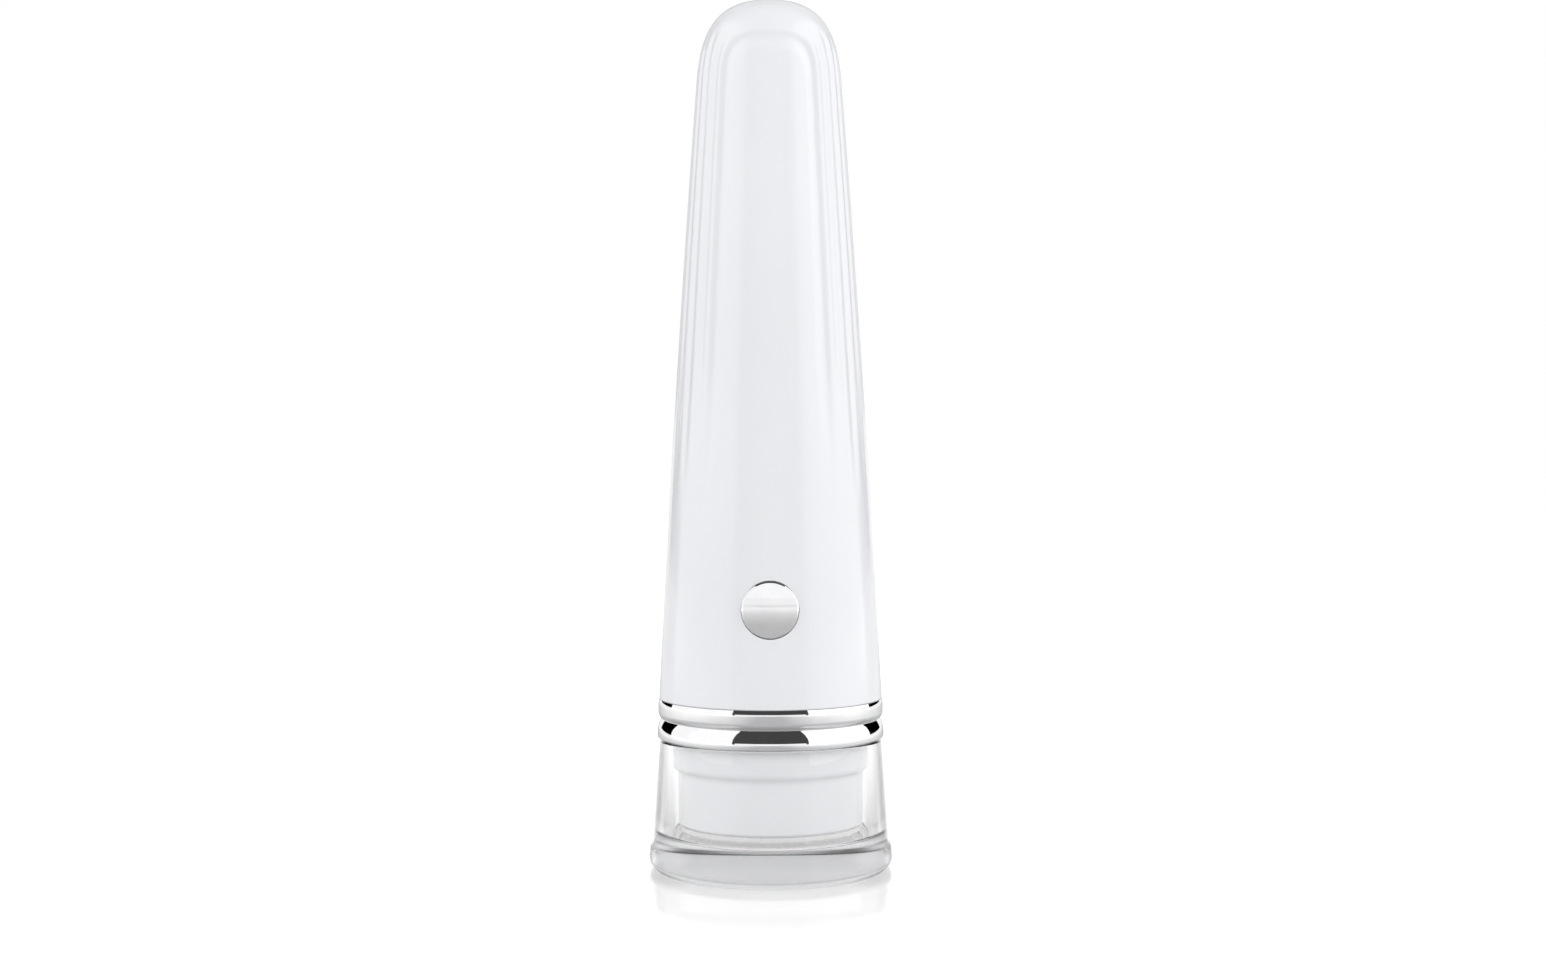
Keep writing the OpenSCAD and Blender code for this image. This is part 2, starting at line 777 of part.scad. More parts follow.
// Chassis: base on the neck web, spine behind the main board, cradle for the cell, nose in the shell
module chassis() {
    half = board_w / 2;
    rib_t = 2;
    cradle_w = cell_r + spine_t;
    cradle_back = cell_y + 3;
    base_r = tube_in_r - loose_gap - running_gap;
    post = 1.8;
    post_sink = 0.5;
    pad_r = 2;
    rail_h = 1.7;
    rail_x = half + 0.7;
    rail_half = 0.55;
    rib_half = 0.6;
    rail_top_z = cell_z + cell_l / 2;
    nose_gap = 0.25;
    slot_side = 0.2;
    slot_h = 0.5;
    color("lightsteelblue")
        difference() {
            union() {
                disc(base_r, web_z, chassis_base_z);
                block([-half, board_back, web_z], [half, spine_back, spine_top_z + nose_t]);
                for (side = [-1, 1]) {
                    block([side * rail_x - rail_half, board_front, chassis_base_z - post_sink],
                        [side * rail_x + rail_half, spine_back, rail_top_z]);
                    translate([side * charge_post_at[0], charge_post_at[1], 0])
                        disc(post, web_z, charge_z);
                    translate([side * charge_rest_at[0], charge_rest_at[1], 0])
                        disc(post, web_z, charge_z);
                    block([side * half - rib_half, board_back, chassis_base_z],
                        [side * half + rib_half, spine_back, rail_top_z]);
                }
                for (z = [cell_z + 6, cell_top_z - 8])
                    block([-cradle_w, spine_back - post_sink, z], [cradle_w, cradle_back, z + rib_t]);
                for (z = [cell_z - cell_gap - rib_t, cell_top_z + cell_gap])
                    block([-cell_r, spine_back - post_sink, z], [cell_r, cradle_back, z + rib_t]);
                for (z = board_screw_z)
                    rod_y(pad_r, 0, z, spine_back - post_sink, spine_back + rail_h);
                disc(inner_r(spine_top_z + nose_t) - nose_gap, spine_top_z, spine_top_z + nose_t);
            }
            translate([0, cell_y, 0])
                disc(cell_r + loose_gap, cell_z - cell_gap, cell_top_z + cell_gap);
            for (z = board_screw_z)
                rod_y(screw_r + fit_gap, 0, z, board_back - 1, spine_back + rail_h + 1);
            for (z = [cell_z - cell_gap - slot_side, cell_top_z - slot_side])
                block([-tab_w / 2 - slot_side, board_back - 1, z],
                    [tab_w / 2 + slot_side, spine_back + slot_side / 2, z + slot_side + slot_h]);
            at_neck_screws()
                disc(screw_r + loose_gap, web_z - 1, chassis_base_z + 1);
            wire_ways(web_z - 1, chassis_base_z + 1);
            for (side = [-1, 1])
                translate([side * charge_post_at[0], charge_post_at[1], 0])
                    disc(screw_r + fit_gap, charge_z - board_screw_l, charge_z + 1);
        }
}

// Rechargeable cell with a rolled groove below its raised contact
module battery_cell() {
    nub_share = 0.4;
    nub_r = cell_r * nub_share;
    nub_h = 0.8;
    can_top = cell_top_z - nub_h;
    groove_d = 0.4;
    groove_drop = 3;
    edge = 0.4;
    color("mediumseagreen")
        translate([0, cell_y, 0])
            rotate_extrude()
                polygon([
                    [0, cell_z], [cell_r - edge, cell_z], [cell_r, cell_z + edge],
                    [cell_r, can_top - groove_drop],
                    [cell_r - groove_d, can_top - groove_drop + groove_d],
                    [cell_r - groove_d, can_top - groove_drop + 2 * groove_d],
                    [cell_r, can_top - groove_drop + 3 * groove_d],
                    [cell_r, can_top - edge], [cell_r - edge, can_top], [nub_r, can_top],
                    [nub_r, cell_top_z], [0, cell_top_z]
                ]);
}

// Nickel strips from the ends of the cell through the spine to the main board
tab_w = 4;
tab_t = 0.2;
module battery_tabs() {
    reach = 2;
    color("lightgray")
        for (z = [cell_z - running_gap - tab_t, cell_top_z + running_gap])
            block([-tab_w / 2, board_back, z], [tab_w / 2, cell_y + reach, z + tab_t]);
}

module main_board() {
    color("darkgreen")
        difference() {
            block([-board_w / 2, board_front, board_low_z], [board_w / 2, board_back, board_top_z]);
            for (z = board_screw_z)
                rod_y(screw_r + loose_gap, 0, z, board_front - 1, board_back + 1);
        }
}

// A part on the main board's front, centred at x and z
module chip(x, z, w, h, t) {
    block([x - w / 2, board_front - t, z - h / 2], [x + w / 2, board_front, z + h / 2]);
}

// Controller, coil, capacitor, resistors and driver on the main board's front
module board_chips() {
    controller_z = cell_z + chip_gap + chip_w / 2;
    coil_z = controller_z + chip_gap + (chip_w + coil_w) / 2;
    capacitor_z = coil_z + chip_gap + (coil_w + capacitor_d) / 2;
    driver_z = capacitor_z + chip_gap + (capacitor_d + chip_w) / 2;
    side_x = board_w / 4;
    driver_share = 0.7;
    color("dimgray") {
        chip(0, controller_z, chip_w, chip_w, chip_t);
        chip(0, coil_z, coil_w, coil_w, coil_t);
        rod_y(capacitor_d / 2, -side_x, capacitor_z, board_front - coil_t, board_front);
        for (i = [0:3])
            chip(side_x, capacitor_z + (i - 1.5) * resistor_l, resistor_l, resistor_l / 2, chip_t / 2);
        chip(0, driver_z, chip_w, chip_w * driver_share, chip_t);
    }
}

// Tact switch: square housing with a round well for its plunger
switch_face = board_front - switch_h;
plunger_out = 1;
plunger_hold = 0.6;
plunger_stop = 0.1;
well_depth = button_travel + plunger_hold + plunger_stop;
module tact_switch() {
    half = switch_w / 2;
    rivet_r = 0.45;
    rivet_at = half - 0.8;
    rivet_h = 0.2;
    color("darkslategray")
        difference() {
            union() {
                block([-half, switch_face, button_z - half], [half, board_front, button_z + half]);
                for (x = [-1, 1], z = [-1, 1])
                    rod_y(rivet_r, x * rivet_at, button_z + z * rivet_at, switch_face - rivet_h,
                        switch_face);
            }
            rod_y(plunger_d / 2 + running_gap, 0, button_z, switch_face - 1, switch_face + well_depth);
        }
}

module switch_plunger() {
    color("black")
        rod_y(plunger_d / 2, 0, button_z, switch_face - plunger_out, switch_face + plunger_hold);
}

// Button: crowned and bevelled face, straight side, and a skirt that runs in the guide
button_r = button_d / 2;
button_face = -skin_r(button_z) - button_proud;
skirt_w = 1.2;
skirt_r = button_r + skirt_w;
skirt_front_gap = 0.25;
skirt_front = -sqrt(pow(inner_r(button_z + skirt_r), 2) - pow(skirt_r, 2)) + skirt_front_gap;
skirt_l = 2;
module button_cap() {
    crown = 0.12;
    cap_t = 0.9;
    skirt_wall = 1.1;
    stem_r = plunger_d / 2 - loose_gap;
    face_r = button_r - button_bevel;
    face_steps = 5;
    depth = skirt_front - button_face;
    stem_end = switch_face - plunger_out - button_face;
    color("silver")
        translate([0, button_face, button_z])
            rotate([-90, 0, 0])
                rotate_extrude()
                    polygon(concat(
                        [for (i = [0:face_steps]) [face_r * i / face_steps,
                            crown * pow(i / face_steps, 2)]],
                        [[button_r, crown + button_bevel], [button_r, depth], [skirt_r, depth],
                            [skirt_r, depth + skirt_l], [skirt_r - skirt_wall, depth + skirt_l],
                            [skirt_r - skirt_wall, depth + cap_t], [stem_r, depth + cap_t],
                            [stem_r, stem_end], [0, stem_end]]
                    ));
}

// Sleeve on the main board that keeps the button square to its travel
module button_guide() {
    guide_r = board_w / 2;
    front_gap = 0.35;
    front = -sqrt(pow(inner_r(button_z + guide_r), 2) - pow(guide_r, 2)) + front_gap;
    color("whitesmoke")
        difference() {
            rod_y(guide_r, 0, button_z, front, board_front);
            rod_y(skirt_r + guide_gap, 0, button_z, front - 1, board_front + 1);
        }
}

// Flat board on the chassis posts, cut straight in front of the spine
module charge_board() {
    color("darkgreen")
        difference() {
            intersection() {
                disc(charge_r, charge_z, charge_z + board_t);
                block([-charge_r, charge_front, charge_z], [charge_r, charge_r, charge_z + board_t]);
            }
            for (side = [-1, 1])
                translate([side * charge_post_at[0], charge_post_at[1], 0])
                    disc(screw_r + loose_gap, charge_z - 1, charge_z + board_t + 1);
        }
}

// The socket's outline, grown by a gap, as a flat-topped form with round ends along Y
module socket_form(gap, from, to) {
    r = socket_h / 2;
    half = socket_w / 2 - r;
    for (side = [-1, 1])
        rod_y(r + gap, side * half, socket_z, from, to);
    block([-half, from, socket_z - r - gap], [half, to, socket_z + r + gap]);
}

// Charging socket: thin metal shell with a flat tongue inside
module usb_socket() {
    metal = 0.35;
    tongue_w = socket_w * 0.75;
    tongue_t = 0.7;
    tongue_in = 0.7;
    pocket = socket_l * 0.75;
    color("silver") {
        difference() {
            socket_form(0, socket_back, socket_mouth);
            socket_form(-metal, socket_mouth - pocket, socket_mouth + 1);
        }
        block([-tongue_w / 2, socket_mouth - pocket - metal, socket_z - tongue_t / 2],
            [tongue_w / 2, socket_mouth - tongue_in, socket_z + tongue_t / 2]);
    }
}

// Four like screws: two in the charging board's posts, two through the main board into the spine
module board_screws() {
    color("dimgray") {
        for (side = [-1, 1])
            translate([side * charge_post_at[0], charge_post_at[1], charge_z + board_t])
                screw(board_screw_l);
        for (z = board_screw_z)
            translate([0, board_front, z])
                rotate([90, 0, 0])
                    screw(board_screw_l);
    }
}

cap_cup();
cap_collar();
handle_shell();
trim_ring();
neck_carrier();
neck_seal();
head_shell();
light_ring();
treatment_plate();
led_board();
leds();
contact_pins();
motor_bracket();
motor_can();
motor_shaft();
eccentric_weight();
motor_wires();
led_wires();
neck_screws();
chassis();
battery_cell();
battery_tabs();
main_board();
board_chips();
tact_switch();
switch_plunger();
button_guide();
button_cap();
charge_board();
usb_socket();
board_screws();
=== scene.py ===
"""Looks for the led facial cleansing device: a fluted white wand that stands head down in its clear cap."""

import json
import math

import bpy
import numpy as np
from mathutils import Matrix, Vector


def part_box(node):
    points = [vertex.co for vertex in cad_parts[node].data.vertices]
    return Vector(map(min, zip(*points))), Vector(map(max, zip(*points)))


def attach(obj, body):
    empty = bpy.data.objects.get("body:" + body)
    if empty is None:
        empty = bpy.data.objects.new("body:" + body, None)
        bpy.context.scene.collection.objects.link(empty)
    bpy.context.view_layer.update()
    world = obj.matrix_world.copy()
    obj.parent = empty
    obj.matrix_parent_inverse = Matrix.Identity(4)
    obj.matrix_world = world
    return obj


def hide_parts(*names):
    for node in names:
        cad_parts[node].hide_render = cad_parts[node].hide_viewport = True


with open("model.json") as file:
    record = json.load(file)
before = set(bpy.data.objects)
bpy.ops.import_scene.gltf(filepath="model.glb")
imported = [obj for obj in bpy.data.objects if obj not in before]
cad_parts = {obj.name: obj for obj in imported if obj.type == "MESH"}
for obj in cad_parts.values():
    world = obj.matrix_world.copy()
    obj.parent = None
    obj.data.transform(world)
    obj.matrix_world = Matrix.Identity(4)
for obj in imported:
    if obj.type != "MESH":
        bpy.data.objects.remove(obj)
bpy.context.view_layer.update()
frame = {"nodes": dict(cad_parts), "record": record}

# A millimetre in metres, and the angle in degrees from which an edge is shaded sharp
MM = 0.001
SHARP = 32


def extent(node):
    """A CAD node's lowest and highest corners in millimetres."""
    return [[v / MM for v in corner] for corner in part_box(node)]


# Heights and outer radii in millimetres, from the frame
(_, _, SHELL_Z), (_, _, TOP_Z) = extent("handle_shell")
(_, _, PARTING_Z), (TRIM_R, _, _) = extent("trim_ring")
(_, _, CUP_H), (COLLAR_R, _, _) = extent("cap_collar")
_, (CUP_LOW_R, _, SPIGOT_Z) = extent("cap_cup")
(_, _, HEAD_Z), (LAND_R, _, _) = extent("head_shell")
(_, _, LIGHT_Z), (LIGHT_R, _, LED_BOARD_Z) = extent("light_ring")
(_, _, PLATE_Z), (PLATE_R, _, RECESS_TOP_Z) = extent("treatment_plate")
(_, _, SEAL_LOW_Z), (SEAL_OUT_R, _, SEAL_HIGH_Z) = extent("neck_seal")
(_, BUTTON_FACE_Y, BUTTON_LOW_Z), (_, BUTTON_BACK_Y, BUTTON_HIGH_Z) = extent("button_cap")
(_, _, SOCKET_LOW_Z), (SOCKET_HALF_W, _, SOCKET_HIGH_Z) = extent("usb_socket")

# The sizes that those boxes don't give, in millimetres and degrees, as the source has them

# Shell: radii at its lower edge and its tip, bow of the taper, wall, lower edge's rounding, squared-off dome
SHELL_LOW_R, SHELL_TIP_R, SHELL_BOW, SHELL_WALL, SHELL_EDGE = 20.65, 12.35, 0.45, 2.4, 0.25
DOME_H, DOME_POWER = 16.5, 3.05
DOME_Z = TOP_Z - DOME_H
REGISTER_R, REGISTER_L = 18.5, 5.7

# Flutes: panels' half width, slope of their edge grooves, flutes a side, depths, arch over each panel, and
# the heights over which they grow in above the lower edge and run out below the tip
PANEL_HALF, EDGE_SLOPE, SIDE_RIBS = 36.0, 8.0, 10
EDGE_DEPTH, FLUTE_DEPTH = 0.55, 0.3
ARCH_DROP, ARCH_H, ARCH_POWER = 9.0, 10.0, 4.0
ARCH_Z = TOP_Z - ARCH_DROP - ARCH_H
FLUTE_LOW_H, FLUTE_LOW_FADE, FLUTE_TOP_DROP, FLUTE_TOP_FADE = 30, 37.0, 2, 5.5
FLUTE_LOW_Z, FLUTE_TOP_Z = SHELL_Z + FLUTE_LOW_H, TOP_Z - ARCH_DROP - FLUTE_TOP_DROP

# Button and charging socket
BUTTON_R, BUTTON_GAP, BUTTON_BEVEL, BUTTON_CROWN, BUTTON_T = 5.0, 0.15, 0.2, 0.12, 0.9
BUTTON_Z = (BUTTON_LOW_Z + BUTTON_HIGH_Z) / 2
SKIRT_GAP, SKIRT_WALL, SKIRT_L, STEM_R = 0.25, 1.1, 2.0, 1.6
SOCKET_GAP = 0.15

# Trim ring on the neck carrier's tube and flange, and the cap's collar below it
TUBE_R, FLANGE_R, FLANGE_T, FIT_GAP = 18.35, 19.25, 1.4, 0.03
TRIM_TOP_H, TRIM_TOP_IN, TRIM_FOOT_H, TRIM_FOOT_IN = 1.1, 0.15, 1.2, 0.55
COLLAR_LIP_R, COLLAR_SHOULDER_H, COLLAR_SHOULDER_IN, COLLAR_FOOT_ROUND = 18.7, 2.75, 0.75, 0.35

# Cup: its lip, bore and floor, and the foot, whose rounding turns to a straight slope near the ground
CUP_LIP_R, CUP_BORE_R, SPIGOT_R, LIP_ROUND = 21.0, 18.45, 19.55, 0.4
CUP_FLOOR, FLOOR_ROUND = 6.4, 0.8
FOOT_ROUND, FOOT_TURN, FOOT_RING_W, FOOT_RECESS = 1.9, 48, 2.8, 0.5
FOOT_R = CUP_LOW_R - FOOT_ROUND

# Head with its wider land and seal groove, light ring and plate
HEAD_R, HEAD_IN_R, HEAD_EDGE, LAND_L, LAND_ROUND = 17.3, 15.5, 0.5, 9.5, 1.5
SEAL_R = (SEAL_HIGH_Z - SEAL_LOW_Z) / 2
SEAL_MID_R, SEAL_Z = SEAL_OUT_R - SEAL_R, SEAL_LOW_Z + SEAL_R
GROOVE_W, RUNNING_GAP = 1.7, 0.05
LIGHT_EDGE, LIGHT_SPIGOT_W, LIGHT_SEAT_W = 0.4, 0.75, 3.2
PLATE_CROWN = 0.25

# Edge roundings of the revolved pieces, and how far the collar's bare plastic reaches past its joint
CRISP, NARROW, LIP, FINE, SOFT, WIDE = 0.05, 0.06, 0.08, 0.1, 0.15, 0.2
BARE_PAST_R, BARE_PAST_Z = 0.1, 0.02


# Shapes

def ease(start, end, v):
    """Smooth step from 0 at the start to 1 at the end."""
    t = np.clip((v - start) / (end - start), 0, 1)
    return t * t * (3 - 2 * t)


def taper_r(z):
    """Radius of the shell's bowed taper, which the dome then closes."""
    t = (z - SHELL_Z) / (TOP_Z - SHELL_Z)
    return SHELL_LOW_R + (SHELL_TIP_R - SHELL_LOW_R) * t + SHELL_BOW * 4 * t * (1 - t)


def dome_share(z, height):
    """Share of the taper's radius that the squared-off dome leaves at a height."""
    rise = np.clip((z - DOME_Z) / height, 0, 1)
    return (1 - rise ** DOME_POWER) ** (1 / DOME_POWER)


def skin_r(z):
    """Radius of the shell's skin without its flutes."""
    return taper_r(z) * dome_share(z, DOME_H)


def inner_r(z):
    """Radius of the shell's hollow, a wall's thickness inside the skin."""
    return (taper_r(z) - SHELL_WALL) * dome_share(z, DOME_H - SHELL_WALL)


def groove(past):
    """Depth at an angle past the panel's edge groove: the groove itself, then the flutes."""
    pitch = 2 * (90 - PANEL_HALF) / SIDE_RIBS
    near = np.cos(np.pi / 2 * np.clip(past / EDGE_SLOPE, -1, 0)) ** 2
    far = np.cos(np.pi * past / pitch) ** 2
    return np.where(past < 0, EDGE_DEPTH * near, np.where(past < pitch / 2, EDGE_DEPTH, FLUTE_DEPTH) * far)


def fluted_r(a, z):
    """Radius of the shell's skin at angle a from the front, in degrees, and height z."""
    half = np.mod(a, 180)
    from_panel = np.minimum(half, 180 - half)
    rise = np.maximum(0, (z - ARCH_Z) / ARCH_H) * PANEL_HALF
    arch = (from_panel ** ARCH_POWER + rise ** ARCH_POWER) ** (1 / ARCH_POWER)
    share = ease(FLUTE_LOW_Z, FLUTE_LOW_Z + FLUTE_LOW_FADE, z)
    share = share * (1 - ease(FLUTE_TOP_Z, FLUTE_TOP_Z + FLUTE_TOP_FADE, z))
    return skin_r(z) - share * groove(arch - PANEL_HALF)


def add_mesh(name, verts, faces, body=None, slot=None, nodes=()):
    """A smooth-shaded mesh from points in millimetres. With a body it is a piece and stands for CAD nodes."""
    mesh = bpy.data.meshes.new(name)
    mesh.from_pydata((np.asarray(verts) * MM).tolist(), [], faces)
    mesh.update()
    mesh.shade_smooth()
    mesh.set_sharp_from_angle(angle=math.radians(SHARP))
    obj = bpy.data.objects.new(name, mesh)
    bpy.context.scene.collection.objects.link(obj)
    if body:
        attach(obj, body)
        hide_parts(*nodes)
        mesh.materials.append(MATERIALS[slot])
    return obj


def strips(rings, steps):
    """Quads between neighbouring rings of equal count."""
    i = np.arange(rings - 1)[:, None]
    j = np.arange(steps)[None, :]
    k = (j + 1) % steps
    quads = np.stack([i * steps + j, i * steps + k, (i + 1) * steps + k, (i + 1) * steps + j], -1)
    return quads.reshape(-1, 4).tolist()


def rounded(corner, before, after, rad, seg=6):
    """A corner's rounding between two neighbours, with a loop on each side of it to keep the flats flat."""
    longest, loop_gap, loop_share = 0.45, 0.06, 0.05
    a, b = before - corner, after - corner
    la, lb = np.linalg.norm(a), np.linalg.norm(b)
    a, b = a / la, b / lb
    half = math.acos(max(-1, min(1, float(a @ b)))) / 2
    cut_l = min(rad / math.tan(half), la * longest, lb * longest)
    centre = corner + (a + b) / np.linalg.norm(a + b) * cut_l * math.tan(half) / math.sin(half)
    s, e = corner + a * cut_l - centre, corner + b * cut_l - centre
    turn = math.atan2(s[0] * e[1] - s[1] * e[0], float(s @ e))
    points = [corner + a * (cut_l + min(loop_gap, la * loop_share))]
    for k in range(seg + 1):
        c, d = math.cos(turn * k / seg), math.sin(turn * k / seg)
        points.append(centre + np.array([s[0] * c - s[1] * d, s[0] * d + s[1] * c]))
    return points + [corner + b * (cut_l + min(loop_gap, lb * loop_share))]


def soften(outline):
    """Plain points of an outline whose own points are (radius, height, rounding)."""
    spots = [np.array(point[:2], float) for point in outline]
    n = len(outline)
    open_ends = outline[0][0] == 0 and outline[-1][0] == 0
    out = []
    for i, (_, _, rad) in enumerate(outline):
        if rad == 0 or (open_ends and i in (0, n - 1)):
            out.append(spots[i])
        else:
            out += rounded(spots[i], spots[i - 1], spots[(i + 1) % n], rad)
    return out


def row_faces(rows, steps):
    """Faces between neighbouring rows of point numbers, where a row on the axis is a single point."""
    closed = len(rows[0]) > 1
    faces = []
    for low, high in zip(rows, rows[1:] + rows[:1] if closed else rows[1:]):
        for j in range(steps):
            k = (j + 1) % steps
            if len(low) == 1:
                faces.append((low[0], high[k], high[j]))
            elif len(high) == 1:
                faces.append((low[j], low[k], high[0]))
            else:
                faces.append((low[j], low[k], high[k], high[j]))
    return faces


def lathe(name, outline, body=None, slot=None, nodes=(), steps=288, axis="z", at=(0, 0, 0), on_axis=1e-6):
    """A revolved mesh. Its outline runs anticlockwise in (radius, height), and may run from axis to axis."""
    turn = np.arange(steps) * 2 * math.pi / steps
    verts, rows = [], []
    for r, z in soften(outline):
        if r < on_axis:
            rows.append([len(verts)])
            verts.append((0, 0, z))
        else:
            rows.append(list(range(len(verts), len(verts) + steps)))
            verts += np.stack([r * np.sin(turn), -r * np.cos(turn), np.full(steps, z)], -1).tolist()
    verts = np.array(verts)
    if axis == "y":
        verts = np.stack([verts[:, 0], verts[:, 2], -verts[:, 1]], -1)
    return add_mesh(name, verts + np.array(at), row_faces(rows, steps), body, slot, nodes)


def arc(r, z, rad, start, end, seg=10):
    """Outline points of an arc about (r, z)."""
    turns = [math.radians(start + (end - start) * i / seg) for i in range(seg + 1)]
    return [(r + rad * math.cos(t), z + rad * math.sin(t), 0) for t in turns]


def barrel(r, z, height, inwards):
    """Points of a shallow arc that leaves a straight side at height z and draws in over a given height."""
    turn = 2 * math.atan(inwards / abs(height))
    rad = abs(height) / math.sin(turn)
    return arc(r - rad, z, rad, 0, math.copysign(math.degrees(turn), height))


def cut(obj, cutter):
    """Takes the cutter's solid out of a piece."""
    mod = obj.modifiers.new("cut", "BOOLEAN")
    mod.operation, mod.solver, mod.object = "DIFFERENCE", "EXACT", cutter
    evaluated = obj.evaluated_get(bpy.context.evaluated_depsgraph_get())
    mesh = bpy.data.meshes.new_from_object(evaluated)
    obj.modifiers.clear()
    old, obj.data = obj.data, mesh
    mesh.name = obj.name
    bpy.data.meshes.remove(old)
    bpy.data.objects.remove(cutter)
    mesh.shade_smooth()
    mesh.set_sharp_from_angle(angle=math.radians(SHARP))


# Materials, with lengths in metres. A span reads (value at its start, value at its end, start, end).

GLOSS_IOR, SATIN_IOR = 1.49, 1.47
PEEL_DEPTH, SATIN_DEPTH, RUBBER_DEPTH, WAVE_DEPTH, TRACK_DEPTH = 4e-6, 1.5e-5, 1e-5, 6e-6, 1.5e-5
BARE_COLOUR, BARE_ROUGH = (0.86, 0.86, 0.86), 0.4
BARE_FADE_R, BARE_FADE_Z = 5e-5, 2e-5
GLASS_HAZE = 0.25, 0.0, 0.0015, 0.002
GLASS_ABOVE_FOOT = 0, 1, 0.003, 0.004
GLASS_OUTER_WALL = 0, 1, 0.0202, 0.0204
GLASS_RIM = 0, 1, 0.62, 0.8
GLASS_TINT, GLASS_DENSITY = (0.0, 0.02, 0.08), 7.0
GLASS_SHADOW = (0.93, 0.94, 0.94)
MASK_GREEN, TRACK_GREEN = (0.012, 0.09, 0.045), (0.035, 0.17, 0.08)
TRACKS = 1.0, 0.0, 0.03, 0.08


class Shader:
    """A material's or the world's node tree, with short calls that add and join nodes."""

    def __init__(self, owner):
        owner.use_nodes = True
        self.mat, self.tree = owner, owner.node_tree
        self.tree.nodes.clear()

    def add(self, kind, inputs=None, **settings):
        """A new node, with its settings, and with its inputs as constants or other nodes' outputs."""
        node = self.tree.nodes.new(kind)
        for k, v in settings.items():
            setattr(node, k, v)
        for k, v in (inputs or {}).items():
            self.join(v, node.inputs[k])
        return node

    def join(self, value, socket):
        """Gives a socket a constant, or links an output to it."""
        if isinstance(value, bpy.types.NodeSocket):
            self.tree.links.new(value, socket)
        elif isinstance(value, (tuple, list)) and len(value) == 3 and socket.type == "RGBA":
            socket.default_value = (*value, 1)
        else:
            socket.default_value = value

    def place(self, space="Object"):
        """Position in a space, or in the world's "Generated" one the way that a ray goes."""
        return self.add("ShaderNodeTexCoord").outputs[space]

    def along(self, axis, space="Object"):
        """Position along one axis."""
        return self.add("ShaderNodeSeparateXYZ", {0: self.place(space)}).outputs[axis]

    def length(self, vector):
        """A vector's length."""
        return self.add("ShaderNodeVectorMath", {0: vector}, operation="LENGTH").outputs["Value"]

    def off_axis(self):
        """Distance from the device's upright axis."""
        inputs = {0: self.place(), 1: (1, 1, 0)}
        return self.length(self.add("ShaderNodeVectorMath", inputs, operation="MULTIPLY").outputs[0])

    def coords(self, stretch=(1, 1, 1)):
        """Coordinates for a texture, which a stretch under one draws out."""
        return self.add("ShaderNodeMapping", {"Vector": self.place(), "Scale": stretch}).outputs["Vector"]

    def noise(self, scale, detail=3, rough=0.5, stretch=(1, 1, 1)):
        """Soft noise of a given fineness, mostly between 0.3 and 0.7."""
        inputs = {"Vector": self.coords(stretch), "Scale": scale, "Detail": detail, "Roughness": rough}
        return self.add("ShaderNodeTexNoise", inputs).outputs["Fac"]

    def span(self, fac, low, high, start=0.3, end=0.7):
        """Number from low to high as fac goes from start to end."""
        inputs = {"Value": fac, "From Min": start, "From Max": end, "To Min": low, "To Max": high}
        return self.add("ShaderNodeMapRange", inputs).outputs["Result"]

    def choose(self, fac, low, high):
        """A number that is low where fac is zero and high where it is one."""
        return self.span(fac, low, high, 0, 1)

    def blend(self, fac, low, high):
        """Colour that is low where fac is zero and high where it is one."""
        mix = self.add("ShaderNodeMix", {"Factor": fac}, data_type="RGBA")
        first, second, result = mix.inputs[6], mix.inputs[7], mix.outputs[2]
        self.join(low, first)
        self.join(high, second)
        return result

    def ramp(self, fac, low, high, start=0.3, end=0.7):
        """Colour from low to high as fac goes from start to end."""
        return self.blend(self.span(fac, 0, 1, start, end), low, high)

    def math(self, operation, *values):
        """Result of an operation on one or two numbers."""
        return self.add("ShaderNodeMath", dict(enumerate(values)), operation=operation).outputs[0]

    def ray(self, *kinds):
        """One for a ray of any of the named kinds, and zero for the others."""
        rays = self.add("ShaderNodeLightPath")
        seen = rays.outputs[kinds[0]]
        for kind in kinds[1:]:
            seen = self.math("MAXIMUM", seen, rays.outputs[kind])
        return seen

    def bump(self, height, depth):
        """Normal of a relief whose height goes from 0 to 1 over a depth."""
        inputs = {"Height": height, "Distance": depth, "Strength": 1.0}
        return self.add("ShaderNodeBump", inputs).outputs["Normal"]

    def shader(self, kind, **inputs):
        """A shader node's output. Underscores in the inputs' names stand for spaces."""
        return self.add(kind, {k.replace("_", " "): v for k, v in inputs.items()}).outputs[0]

    def mixed(self, fac, low, high):
        """Shader that is low where fac is zero and high where it is one."""
        return self.add("ShaderNodeMixShader", {0: fac, 1: low, 2: high}).outputs[0]

    def surface(self, shader):
        """Ends the material with a shader, and gives its output node."""
        out = self.add("ShaderNodeOutputMaterial")
        self.tree.links.new(shader, out.inputs["Surface"])
        return out

    def principled(self, **inputs):
        """Ends the material with a Principled shader."""
        self.surface(self.shader("ShaderNodeBsdfPrincipled", **inputs))


def new_shader(name):
    """The empty node tree of a new material."""
    return Shader(bpy.data.materials.new(name))


def gloss_plastic(name, low, high, rough=(0.12, 0.2)):
    """Moulded gloss plastic: faint colour drift, uneven gloss, and a very fine orange peel."""
    s = new_shader(name)
    colour, gloss, peel = s.noise(28, 2), s.noise(420, 2), s.noise(900, 1)
    s.principled(Base_Color=s.ramp(colour, low, high), Roughness=s.span(gloss, *rough), IOR=GLOSS_IOR,
                 Normal=s.bump(peel, PEEL_DEPTH))
    return s.mat


